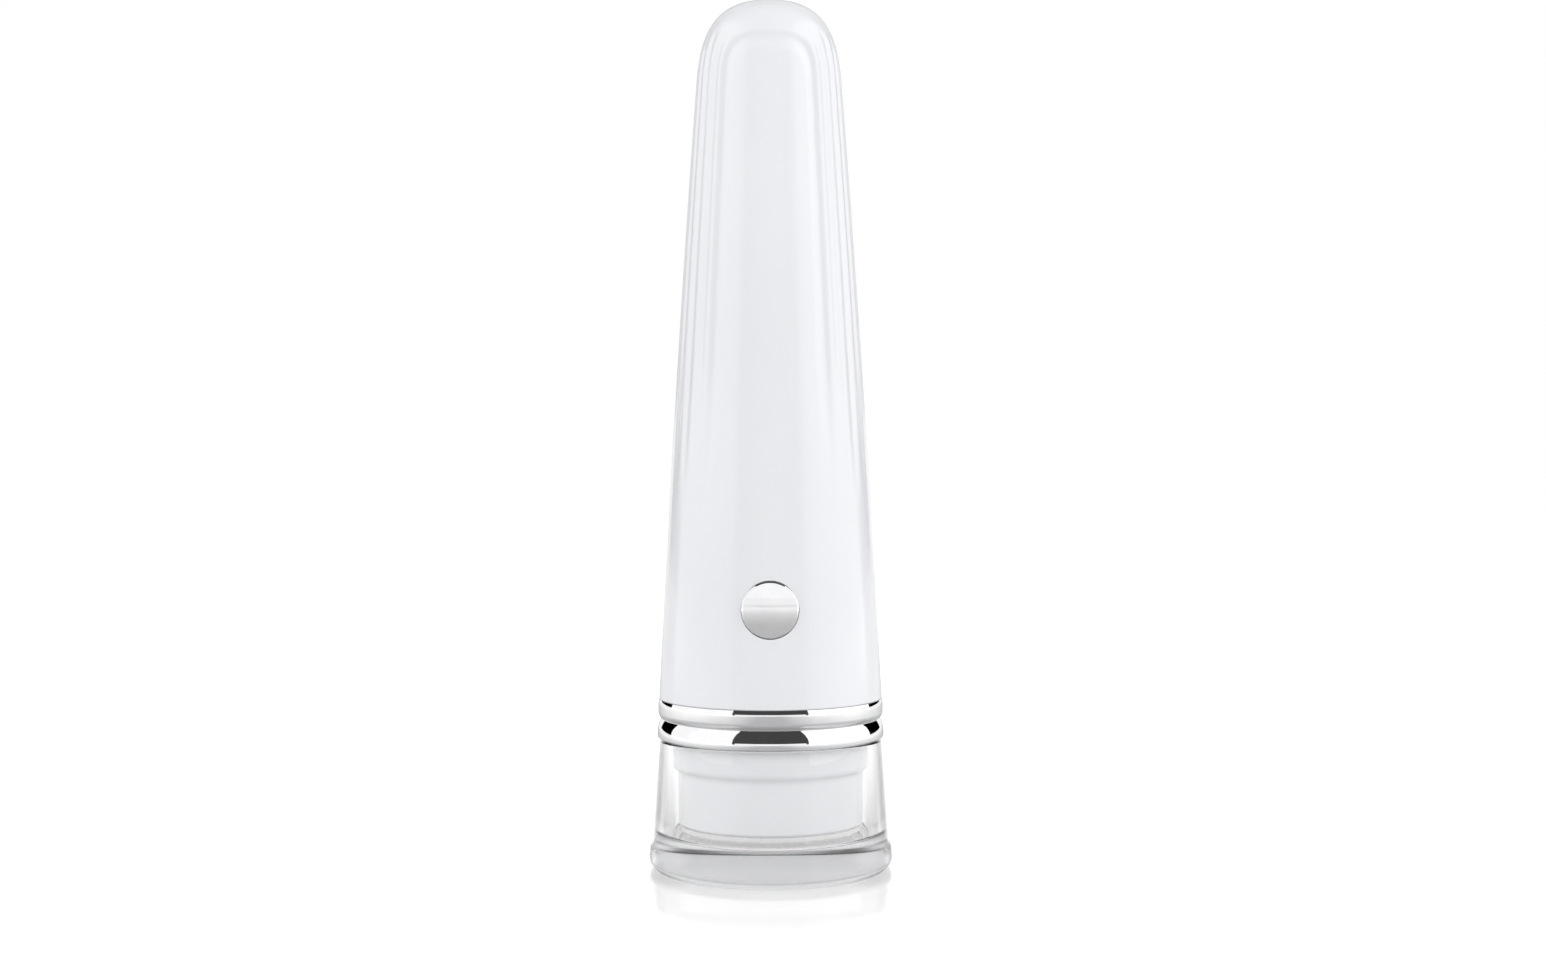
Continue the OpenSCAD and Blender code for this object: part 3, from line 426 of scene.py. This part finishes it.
def satin_plastic(name, low, high, rough=(0.35, 0.5)):
    """Spark-eroded satin plastic with a fine grain."""
    s = new_shader(name)
    colour, grain = s.noise(45, 3), s.noise(2600, 4, 0.6)
    s.principled(Base_Color=s.ramp(colour, low, high), Roughness=s.span(grain, *rough), IOR=SATIN_IOR,
                 Normal=s.bump(grain, SATIN_DEPTH))
    return s.mat


def polished_metal(name, low, high, rough):
    """Bright metal with an uneven polish."""
    s = new_shader(name)
    grain = s.noise(300, 3, 0.55)
    s.principled(Base_Color=s.ramp(grain, low, high), Metallic=1.0, Roughness=s.span(grain, *rough))
    return s.mat


def worked_metal(name, low, high, rough, stretch, scale, depth):
    """Drawn, rolled or turned metal, whose grain can be felt. A stretch draws it out in one direction."""
    s = new_shader(name)
    grain = s.noise(scale, 3, 0.55, stretch)
    s.principled(Base_Color=s.ramp(grain, low, high), Metallic=1.0, Roughness=s.span(grain, *rough),
                 Normal=s.bump(grain, depth))
    return s.mat


def part_plated(name, low, high, bare_r, bare_z):
    """Plated plastic, bright outside and bare where it is glued: inside a radius and below a height."""
    s = new_shader(name)
    grain = s.noise(300, 3, 0.55)
    outside = s.span(s.off_axis(), 0, 1, bare_r, bare_r + BARE_FADE_R)
    above = s.span(s.along("Z"), 0, 1, bare_z, bare_z + BARE_FADE_Z)
    plated = s.math("MULTIPLY", outside, above)
    colour = s.blend(plated, BARE_COLOUR, s.ramp(grain, low, high))
    gloss = s.choose(plated, BARE_ROUGH, s.span(grain, *CHROME_ROUGH))
    s.principled(Base_Color=colour, Metallic=plated, Roughness=gloss)
    return s.mat


def rubber(name, low, high, rough=(0.45, 0.6)):
    """Soft matt rubber with a fine grain and a little light inside."""
    s = new_shader(name)
    colour, grain = s.noise(120, 3), s.noise(1500, 3)
    s.principled(Base_Color=s.ramp(colour, low, high), Roughness=s.span(grain, *rough),
                 Normal=s.bump(grain, RUBBER_DEPTH), Subsurface_Weight=0.1, Subsurface_Scale=0.001)
    return s.mat


def clear_acrylic(name):
    """Polished clear acrylic, tinted by its thickness, with slight waves, a hazy foot and a soft outline."""
    s = new_shader(name)
    haze = s.span(s.along("Z"), *GLASS_HAZE)
    glass = s.shader("ShaderNodeBsdfPrincipled", Base_Color=(1, 1, 1), Roughness=haze, IOR=GLOSS_IOR,
                     Transmission_Weight=1.0, Normal=s.bump(s.noise(70, 1), WAVE_DEPTH))
    above_foot = s.span(s.along("Z"), *GLASS_ABOVE_FOOT)
    outer_wall = s.math("MULTIPLY", above_foot, s.span(s.off_axis(), *GLASS_OUTER_WALL))
    facing = s.add("ShaderNodeLayerWeight", {"Blend": 0.5}).outputs["Facing"]
    rim = s.math("MULTIPLY", s.span(facing, *GLASS_RIM), outer_wall)
    body = s.mixed(rim, glass, s.shader("ShaderNodeBsdfTransparent", Color=(1, 1, 1)))
    shadow = s.shader("ShaderNodeBsdfTransparent", Color=GLASS_SHADOW)
    out = s.surface(s.mixed(s.ray("Is Shadow Ray"), body, shadow))
    tint = s.shader("ShaderNodeVolumeAbsorption", Color=GLASS_TINT, Density=GLASS_DENSITY)
    s.tree.links.new(tint, out.inputs["Volume"])
    return s.mat


def circuit_board(name):
    """Green solder mask over faint copper tracks."""
    s = new_shader(name)
    cells = s.add("ShaderNodeTexVoronoi", {"Vector": s.coords(), "Scale": 420}, feature="DISTANCE_TO_EDGE")
    tracks = s.span(cells.outputs["Distance"], *TRACKS)
    s.principled(Base_Color=s.ramp(tracks, MASK_GREEN, TRACK_GREEN, 0, 1),
                 Roughness=s.span(s.noise(900), 0.25, 0.4), Normal=s.bump(tracks, TRACK_DEPTH))
    return s.mat


CHROME, CHROME_ROUGH = ((0.84, 0.845, 0.86), (0.9, 0.9, 0.905)), (0.025, 0.05)

# Stretch, fineness and depth of a worked metal's grain
TURNED = (0.1, 1, 1), 900, 5e-6
PLAIN = (1, 1, 1), 900, 5e-6
ROLLED = (1, 0.1, 1), 1200, 3e-6

# Each slot's maker, the lowest and highest colour, and what else the maker takes
SLOTS = {
    "white_gloss": (gloss_plastic, (0.80, 0.81, 0.835), (0.825, 0.833, 0.855)),
    "white_head": (gloss_plastic, (0.78, 0.79, 0.81), (0.805, 0.813, 0.832)),
    "milky_guide": (gloss_plastic, (0.73, 0.72, 0.725), (0.79, 0.78, 0.785), (0.2, 0.3)),
    "led_lens": (gloss_plastic, (0.8, 0.74, 0.4), (0.88, 0.84, 0.55), (0.05, 0.12)),
    "cell_wrap": (gloss_plastic, (0.08, 0.30, 0.17), (0.11, 0.38, 0.22), (0.2, 0.35)),
    "white_satin": (satin_plastic, (0.74, 0.74, 0.74), (0.8, 0.8, 0.8)),
    "grey_satin": (satin_plastic, (0.45, 0.47, 0.5), (0.55, 0.57, 0.6)),
    "chip_black": (satin_plastic, (0.02, 0.02, 0.022), (0.04, 0.04, 0.045)),
    "plunger_black": (satin_plastic, (0.015, 0.015, 0.015), (0.03, 0.03, 0.03)),
    "bright_chrome": (polished_metal, *CHROME, CHROME_ROUGH),
    "plate_steel": (polished_metal, (0.66, 0.64, 0.64), (0.74, 0.72, 0.72), (0.1, 0.2)),
    "gold_contact": (polished_metal, (0.8, 0.6, 0.26), (0.88, 0.7, 0.34), (0.1, 0.2)),
    "motor_steel": (worked_metal, (0.5, 0.5, 0.52), (0.62, 0.62, 0.64), (0.2, 0.32), *TURNED),
    "weight_brass": (worked_metal, (0.52, 0.4, 0.2), (0.64, 0.5, 0.27), (0.2, 0.35), *TURNED),
    "screw_steel": (worked_metal, (0.4, 0.4, 0.42), (0.52, 0.52, 0.54), (0.25, 0.4), *PLAIN),
    "socket_steel": (worked_metal, (0.62, 0.62, 0.63), (0.72, 0.72, 0.73), (0.12, 0.25), *ROLLED),
    "nickel": (worked_metal, (0.58, 0.57, 0.54), (0.68, 0.67, 0.64), (0.2, 0.35), *ROLLED),
    "silicone": (rubber, (0.68, 0.69, 0.71), (0.76, 0.77, 0.79)),
    "wire_blue": (rubber, (0.04, 0.1, 0.42), (0.06, 0.14, 0.52)),
    "wire_red": (rubber, (0.42, 0.035, 0.035), (0.52, 0.055, 0.05)),
    "clear_acrylic": (clear_acrylic,),
    "circuit_board": (circuit_board,),
}
MATERIALS = {name: make(name, *values) for name, (make, *values) in SLOTS.items()}


def dress_nodes():
    """Gives each CAD node the material of its slot, so that what is carried over unchanged has it."""
    slots = {p["node"]: p["material_slot"] for p in frame["record"]["subparts"]}
    for name, node in frame["nodes"].items():
        node.data.materials.clear()
        node.data.materials.append(MATERIALS[slots[name]])


# The pieces

def shell_rows(top_loops=14, wall_loops=7, edge_loops=6):
    """Radius and height of the shell's plain loops, down its hollow from the top and round its lower edge."""
    top = np.linspace(0, math.pi / 2, top_loops)[-2::-1]
    hollow = [DOME_Z + (DOME_H - SHELL_WALL) * math.sin(t) for t in top]
    hollow += np.linspace(DOME_Z, SHELL_Z + REGISTER_L, wall_loops)[1:].tolist()
    rows = [(inner_r(h), h) for h in hollow] + [(REGISTER_R, SHELL_Z + REGISTER_L), (REGISTER_R, SHELL_Z)]
    edge_r, edge_z = skin_r(SHELL_Z + SHELL_EDGE) - SHELL_EDGE, SHELL_Z + SHELL_EDGE
    rows += [(edge_r + SHELL_EDGE * math.sin(t), edge_z - SHELL_EDGE * math.cos(t))
             for t in np.linspace(0, math.pi / 2, edge_loops)]
    return np.array(rows)


def fluted_rows(taper_loops=110, arch_loops=9, dome_loops=121, gap=0.05):
    """Heights of the skin's loops, from just above the lower edge's rounding to the tip."""
    taper = np.linspace(SHELL_Z + SHELL_EDGE + gap, ARCH_Z, taper_loops)[:-1]
    arches = np.linspace(ARCH_Z, DOME_Z, arch_loops)[:-1]
    rise = np.sin(np.linspace(0, math.pi / 2, dome_loops)[:-1]) ** (2 / DOME_POWER)
    dome = DOME_Z + DOME_H * rise
    return np.concatenate([taper, arches, dome])


def slot_cutter(half_w, half_h, z, low_y, high_y, points=24):
    """A solid slot with round ends along Y."""
    turns = np.linspace(-math.pi / 2, math.pi / 2, points)
    rim = [(half_w - half_h + half_h * math.cos(t), half_h * math.sin(t)) for t in turns]
    rim += [(-x, -h) for x, h in rim]
    n = len(rim)
    verts = [(x, y, z + h) for y in (low_y, high_y) for x, h in rim]
    faces = [(i, (i + 1) % n, n + (i + 1) % n, n + i) for i in range(n)]
    return add_mesh("slot_cutter", verts, faces + [tuple(range(n))[::-1], tuple(range(n, 2 * n))])


def build_shell(steps=480, reach=30):
    """The fluted skin over its hollow, with the button's bore and the socket's slot cut to past the skin."""
    angles = np.arange(steps) * 360 / steps
    a, z = np.meshgrid(angles, fluted_rows())
    plain = shell_rows()
    all_r = np.concatenate([np.repeat(plain[:, :1], steps, 1), fluted_r(a, z)])
    all_z = np.concatenate([np.repeat(plain[:, 1:], steps, 1), z])
    all_a = np.radians(np.broadcast_to(angles, all_r.shape))
    verts = np.stack([all_r * np.sin(all_a), -all_r * np.cos(all_a), all_z], -1).reshape(-1, 3)
    faces = strips(len(all_r), steps)
    n = len(verts)
    verts = np.concatenate([verts, [[0, 0, TOP_Z], [0, 0, TOP_Z - SHELL_WALL]]])
    for j in range(steps):
        k = (j + 1) % steps
        faces.append([n - steps + j, n - steps + k, n])
        faces.append([k, j, n + 1])
    shell = add_mesh("handle_skin", verts, faces, "handle", "white_gloss", ["handle_shell"])
    bore_r = BUTTON_R + BUTTON_GAP
    bore = [(0, -reach, 0), (bore_r, -reach, 0), (bore_r, -SHELL_TIP_R, 0), (0, -SHELL_TIP_R, 0)]
    cut(shell, lathe("bore_cutter", bore, axis="y", at=(0, 0, BUTTON_Z), steps=160))
    half_w, half_h = SOCKET_HALF_W + SOCKET_GAP, (SOCKET_HIGH_Z - SOCKET_LOW_Z) / 2 + SOCKET_GAP
    cut(shell, slot_cutter(half_w, half_h, (SOCKET_HIGH_Z + SOCKET_LOW_Z) / 2, SHELL_TIP_R, reach))


def build_trim():
    """The handle's ring, over the carrier's tube and flange, with a soft top edge and a rounded lower one."""
    inner, outer = TUBE_R + FIT_GAP, FLANGE_R + FIT_GAP
    outline = [(inner, PARTING_Z + FLANGE_T, 0), (outer, PARTING_Z + FLANGE_T, 0), (outer, PARTING_Z, 0)]
    outline += barrel(TRIM_R, PARTING_Z + TRIM_FOOT_H, -TRIM_FOOT_H, TRIM_FOOT_IN)[::-1]
    outline += barrel(TRIM_R, SHELL_Z - TRIM_TOP_H, TRIM_TOP_H, TRIM_TOP_IN)
    lathe("trim_ring_bright", outline + [(inner, SHELL_Z, 0)], "handle", "bright_chrome", ["trim_ring"])


def build_collar():
    """The collar, bright outside and bare plastic where it is glued to the cup."""
    socket_r = SPIGOT_R + FIT_GAP
    foot_r = COLLAR_R - COLLAR_FOOT_ROUND
    outline = [(COLLAR_LIP_R, PARTING_Z, LIP), (COLLAR_LIP_R, SPIGOT_Z, 0), (socket_r, SPIGOT_Z, 0)]
    outline += [(socket_r, CUP_H, 0)] + arc(foot_r, CUP_H + COLLAR_FOOT_ROUND, COLLAR_FOOT_ROUND, -90, 0)
    outline += barrel(COLLAR_R, PARTING_Z - COLLAR_SHOULDER_H, COLLAR_SHOULDER_H, COLLAR_SHOULDER_IN)
    collar = lathe("collar_bright", outline, "cap", "bright_chrome", ["cap_collar"])
    bare = (socket_r + BARE_PAST_R) * MM, (CUP_H + BARE_PAST_Z) * MM
    collar.data.materials[0] = part_plated("collar_chrome", *CHROME, *bare)


def build_cup():
    """The clear cup: recessed and ringed foot, tapered wall, lip and spigot, bore and rounded floor."""
    recess_r = FOOT_R - FOOT_RING_W
    turn = math.radians(FOOT_TURN)
    foot_end = FOOT_R + FOOT_ROUND * (math.cos(turn) - (1 - math.sin(turn)) * math.tan(turn))
    outline = [(0, FOOT_RECESS, 0), (recess_r - FOOT_RECESS, FOOT_RECESS, SOFT), (recess_r, 0, SOFT)]
    outline += [(foot_end, 0, CRISP)] + arc(FOOT_R, FOOT_ROUND, FOOT_ROUND, -FOOT_TURN, 0)
    outline += arc(CUP_LIP_R - LIP_ROUND, CUP_H - LIP_ROUND, LIP_ROUND, 0, 90)
    outline += [(SPIGOT_R, CUP_H, 0), (SPIGOT_R, SPIGOT_Z, 0), (CUP_BORE_R, SPIGOT_Z, LIP)]
    outline += arc(CUP_BORE_R - FLOOR_ROUND, CUP_FLOOR + FLOOR_ROUND, FLOOR_ROUND, 0, -90)
    lathe("cup_clear", outline + [(0, CUP_FLOOR, 0)], "cap", "clear_acrylic", ["cap_cup"])


def build_head():
    """The white head: a tube with a wider land towards the parting line and the seal's groove in it."""
    step = LAND_R - HEAD_R
    land_z = PARTING_Z - LAND_L
    groove_r = SEAL_MID_R - SEAL_R - RUNNING_GAP
    groove_low, groove_high = SEAL_Z - GROOVE_W / 2, SEAL_Z + GROOVE_W / 2
    outline = [(HEAD_IN_R, HEAD_Z, 0), (HEAD_R - HEAD_EDGE, HEAD_Z, FINE), (HEAD_R, HEAD_Z + HEAD_EDGE, WIDE)]
    outline += [(HEAD_R, land_z, LAND_ROUND), (LAND_R, land_z + step, LAND_ROUND)]
    outline += [(LAND_R, groove_low, CRISP), (groove_r, groove_low, 0)]
    outline += [(groove_r, groove_high, 0), (LAND_R, groove_high, CRISP)]
    outline += [(LAND_R, PARTING_Z, CRISP), (HEAD_IN_R, PARTING_Z, 0)]
    lathe("head_white", outline, "handle", "white_head", ["head_shell"])


def build_seal(points=36):
    """The rubber ring in the head's groove, round in section."""
    outline = arc(SEAL_MID_R, SEAL_Z, SEAL_R, 0, 360 - 360 / points, points - 1)
    lathe("seal_ring", outline, "handle", "silicone", ["neck_seal"])


def build_light_ring():
    """The milky ring between head and plate, with a spigot up into the head and a seat over the plate."""
    spigot_out, seat_r = HEAD_IN_R - FIT_GAP, PLATE_R + FIT_GAP
    spigot_in, open_r = spigot_out - LIGHT_SPIGOT_W, seat_r - LIGHT_SEAT_W
    outline = [(seat_r, LIGHT_Z, CRISP), (LIGHT_R - LIGHT_EDGE, LIGHT_Z, FINE)]
    outline += [(LIGHT_R, LIGHT_Z + LIGHT_EDGE, SOFT)]
    outline += [(LIGHT_R, HEAD_Z, 0), (spigot_out, HEAD_Z, 0), (spigot_out, LED_BOARD_Z, 0)]
    outline += [(spigot_in, LED_BOARD_Z, 0), (spigot_in, HEAD_Z, 0), (open_r, HEAD_Z, 0)]
    outline += [(open_r, RECESS_TOP_Z, 0), (seat_r, RECESS_TOP_Z, 0)]
    lathe("light_ring_milky", outline, "handle", "milky_guide", ["light_ring"])


def crowned(radius, base, crown, power, rounding, rings=12):
    """Outline points of a crowned face out from its middle, with its rim's rounding on the last one."""
    shares = [i / rings for i in range(1, rings + 1)]
    return [(0, base, 0)] + [(radius * t, base + crown * t ** power, rounding * (t == 1)) for t in shares]


def build_plate():
    """The polished plate in the light ring's recess, gently crowned downwards."""
    outline = crowned(PLATE_R, PLATE_Z, PLATE_CROWN, 4, CRISP)
    outline += [(PLATE_R, RECESS_TOP_Z, 0), (0, RECESS_TOP_Z, 0)]
    lathe("plate_polished", outline, "handle", "plate_steel", ["treatment_plate"])


def build_button():
    """The button's crowned face and side, its skirt behind the shell's wall, and its stem."""
    skirt_r = (BUTTON_HIGH_Z - BUTTON_LOW_Z) / 2
    hollow_r = skirt_r - SKIRT_WALL
    skirt_y = SKIRT_GAP - math.sqrt(inner_r(BUTTON_Z + skirt_r) ** 2 - skirt_r ** 2)
    skirt, end = skirt_y - BUTTON_FACE_Y, BUTTON_BACK_Y - BUTTON_FACE_Y
    outline = crowned(BUTTON_R - BUTTON_BEVEL, 0, BUTTON_CROWN, 2, NARROW)
    outline += [(BUTTON_R, BUTTON_CROWN + BUTTON_BEVEL, FINE), (BUTTON_R, skirt, 0)]
    outline += [(skirt_r, skirt, 0), (skirt_r, skirt + SKIRT_L, 0), (hollow_r, skirt + SKIRT_L, 0)]
    outline += [(hollow_r, skirt + BUTTON_T, 0), (STEM_R, skirt + BUTTON_T, 0), (STEM_R, end, 0), (0, end, 0)]
    place = (0, BUTTON_FACE_Y, BUTTON_Z)
    lathe("button_bright", outline, "button", "bright_chrome", ["button_cap"], axis="y", at=place)


# Stage, lights and camera, in metres. A span reads (value at its start, value at its end, start, end).

FLOOR_SIZE, FLOOR_GAP, FLOOR_ROUGH = 8, 0.00005, 0.1
BACKDROP_W, BACKDROP_H, BACKDROP_Y, BACKDROP_Z = 0.78, 1.2, 0.6, 0.45
CARD_W, CARD_H, CARD_Y = 3.6, 0.2, -2.5
FLOOR_WHITE = (0.49, 0.49, 0.49), (0.51, 0.51, 0.51)
FLOOR_MIRROR = 0.42, 0.0, 0.020, 0.08
FLOOR_UNDER = 0.0, 0.5, 0.019, 0.0205
FLOOR_LIFT = 0.62, 1.0, 0.1, 0.3
# Painted light on the floor that only reflections see: brighter away from the object, and to the sides
FLOOR_PAINTED_GLOW = 0.0, 0.72, 0.35, 1.15
FLOOR_PAINTED_SIDES = 0.0, 0.55, 0.05, 0.25
BACKDROP_GLOW = 1.0, 0.45, -0.25, -0.1
CARD_GLOW = 1.08, 1.08
ROOM_GLOW = 0.061, 0.0, -0.05, 0.05
WORLD_LEVEL = 0.55

# Azimuth from the camera's side, distance, width, height, centre's height, radiance, seen in reflections
LAMPS = {
    "softbox_right": (78, 0.5, 0.84, 0.9, 0.35, 1.3, True),
    "softbox_left": (-78, 0.5, 0.84, 0.9, 0.35, 1.08, True),
    "front_fill": (0, 0.9, 0.6, 0.6, 0.38, 2.15, False),
    "back_fill": (180, 0.9, 0.6, 0.6, 0.38, 1.5, False),
}

CAMERA_PLACE, CAMERA_ROLL = (0.00056, -0.325, 0.0702), 0.00243
LENS, SENSOR, CLIP = 40.73, 36, (0.01, 20)


def panel(name, width, height, place, facing, shade):
    """A flat stage panel centred at a place, facing up or a point."""
    mesh = bpy.data.meshes.new(name)
    w, h = width / 2, height / 2
    mesh.from_pydata([(-w, -h, 0), (w, -h, 0), (w, h, 0), (-w, h, 0)], [], [(0, 1, 2, 3)])
    s = new_shader(name)
    shade(s)
    mesh.materials.append(s.mat)
    obj = bpy.data.objects.new(name, mesh)
    bpy.context.scene.collection.objects.link(obj)
    obj.location = place
    if facing:
        obj.rotation_euler = (Vector(facing) - Vector(place)).to_track_quat("Z", "Y").to_euler()
    return obj


def floor_shade(s):
    """White gloss sheet: it keeps the shadow, mirrors what stands close, and ends in plain white. In
    reflections it shows painted light, brighter away from the object and to the sides.
    """
    away = s.length(s.place())
    aside = s.math("ABSOLUTE", s.along("X"))
    straight = s.ray("Is Camera Ray", "Is Transmission Ray")
    lift = s.math("MULTIPLY", straight, s.span(away, *FLOOR_LIFT))
    glossy = s.math("MULTIPLY", s.ray("Is Glossy Ray"), s.math("SUBTRACT", 1.0, straight))
    # Painted patches of light: emission that only glossy rays see, away from the object and to the sides
    painted_floor_light = s.math("MAXIMUM", s.span(away, *FLOOR_PAINTED_GLOW), s.span(aside, *FLOOR_PAINTED_SIDES))
    level = s.math("MAXIMUM", lift, s.math("MULTIPLY", glossy, painted_floor_light))
    matt = s.shader("ShaderNodeBsdfDiffuse", Color=s.ramp(s.noise(60, 2), *FLOOR_WHITE))
    glow = s.shader("ShaderNodeEmission", Strength=level)
    sheet = s.add("ShaderNodeAddShader", {0: matt, 1: glow}).outputs[0]
    mirror = s.shader("ShaderNodeBsdfGlossy", Color=(1, 1, 1), Roughness=FLOOR_ROUGH)
    share = s.math("MINIMUM", s.span(away, *FLOOR_MIRROR), s.span(away, *FLOOR_UNDER))
    s.surface(s.mixed(share, sheet, mirror))


def glow_shade(strength, *kinds):
    """White light that only the named kinds of ray see, and that changes over the panel's height."""
    def shade(s):
        level = s.math("MULTIPLY", s.ray(*kinds), s.span(s.along("Y"), *strength))
        s.surface(s.shader("ShaderNodeEmission", Strength=level))
    return shade


def build_panels():
    """The floor, a white backdrop for what glass and metal show, and a low bright card far in front."""
    panel("floor", FLOOR_SIZE, FLOOR_SIZE, (0, 0, -FLOOR_GAP), None, floor_shade)
    place, facing = (0, BACKDROP_Y, BACKDROP_Z), (0, 0, BACKDROP_Z)
    shade = glow_shade(BACKDROP_GLOW, "Is Glossy Ray", "Is Transmission Ray")
    backdrop = panel("backdrop", BACKDROP_W, BACKDROP_H, place, facing, shade)
    place, facing = (0, CARD_Y, CARD_H / 2), (0, 0, CARD_H / 2)
    card = panel("front_card", CARD_W, CARD_H, place, facing, glow_shade(CARD_GLOW, "Is Glossy Ray"))
    for obj in (backdrop, card):
        obj.visible_camera = obj.visible_diffuse = obj.visible_shadow = False


def build_world():
    """White where it is seen straight, a dark room in reflections, and a plain level of light."""
    world = bpy.data.worlds.new("studio")
    bpy.context.scene.world = world
    s = Shader(world)
    glossy = s.ray("Is Glossy Ray")
    room = s.math("MULTIPLY", glossy, s.span(s.along("Y", "Generated"), *ROOM_GLOW))
    level = s.math("ADD", s.choose(glossy, WORLD_LEVEL, 0), room)
    level = s.math("MAXIMUM", level, s.ray("Is Camera Ray", "Is Transmission Ray"))
    sky = s.shader("ShaderNodeBackground", Color=(1, 1, 1), Strength=level)
    s.tree.links.new(sky, s.add("ShaderNodeOutputWorld").inputs["Surface"])


def area_light(name, azimuth, distance, width, height, centre_z, radiance, seen):
    """A large upright area light that faces the object's axis."""
    light = bpy.data.lights.new(name, "AREA")
    light.shape, light.size, light.size_y = "RECTANGLE", width, height
    light.energy = radiance * width * height * math.pi
    obj = bpy.data.objects.new(name, light)
    bpy.context.scene.collection.objects.link(obj)
    a = math.radians(azimuth)
    obj.location = (distance * math.sin(a), -distance * math.cos(a), centre_z)
    obj.rotation_euler = (Vector((0, 0, centre_z)) - obj.location).to_track_quat("-Z", "Y").to_euler()
    obj.visible_camera = False
    obj.visible_glossy = obj.visible_transmission = seen


def build_camera():
    """The photograph's view: level, from a little below the middle of the device."""
    camera = bpy.data.objects.new("camera", bpy.data.cameras.new("camera"))
    bpy.context.scene.collection.objects.link(camera)
    bpy.context.scene.camera = camera
    camera.location = CAMERA_PLACE
    camera.rotation_euler = (math.pi / 2, CAMERA_ROLL, 0)
    camera.data.lens, camera.data.sensor_width = LENS, SENSOR
    camera.data.clip_start, camera.data.clip_end = CLIP


dress_nodes()
for build in (build_shell, build_trim, build_collar, build_cup, build_head, build_seal, build_light_ring,
              build_plate, build_button):
    build()
build_panels()
build_world()
for lamp, values in LAMPS.items():
    area_light(lamp, *values)
build_camera()

bpy.context.scene.view_settings.view_transform = "Standard"
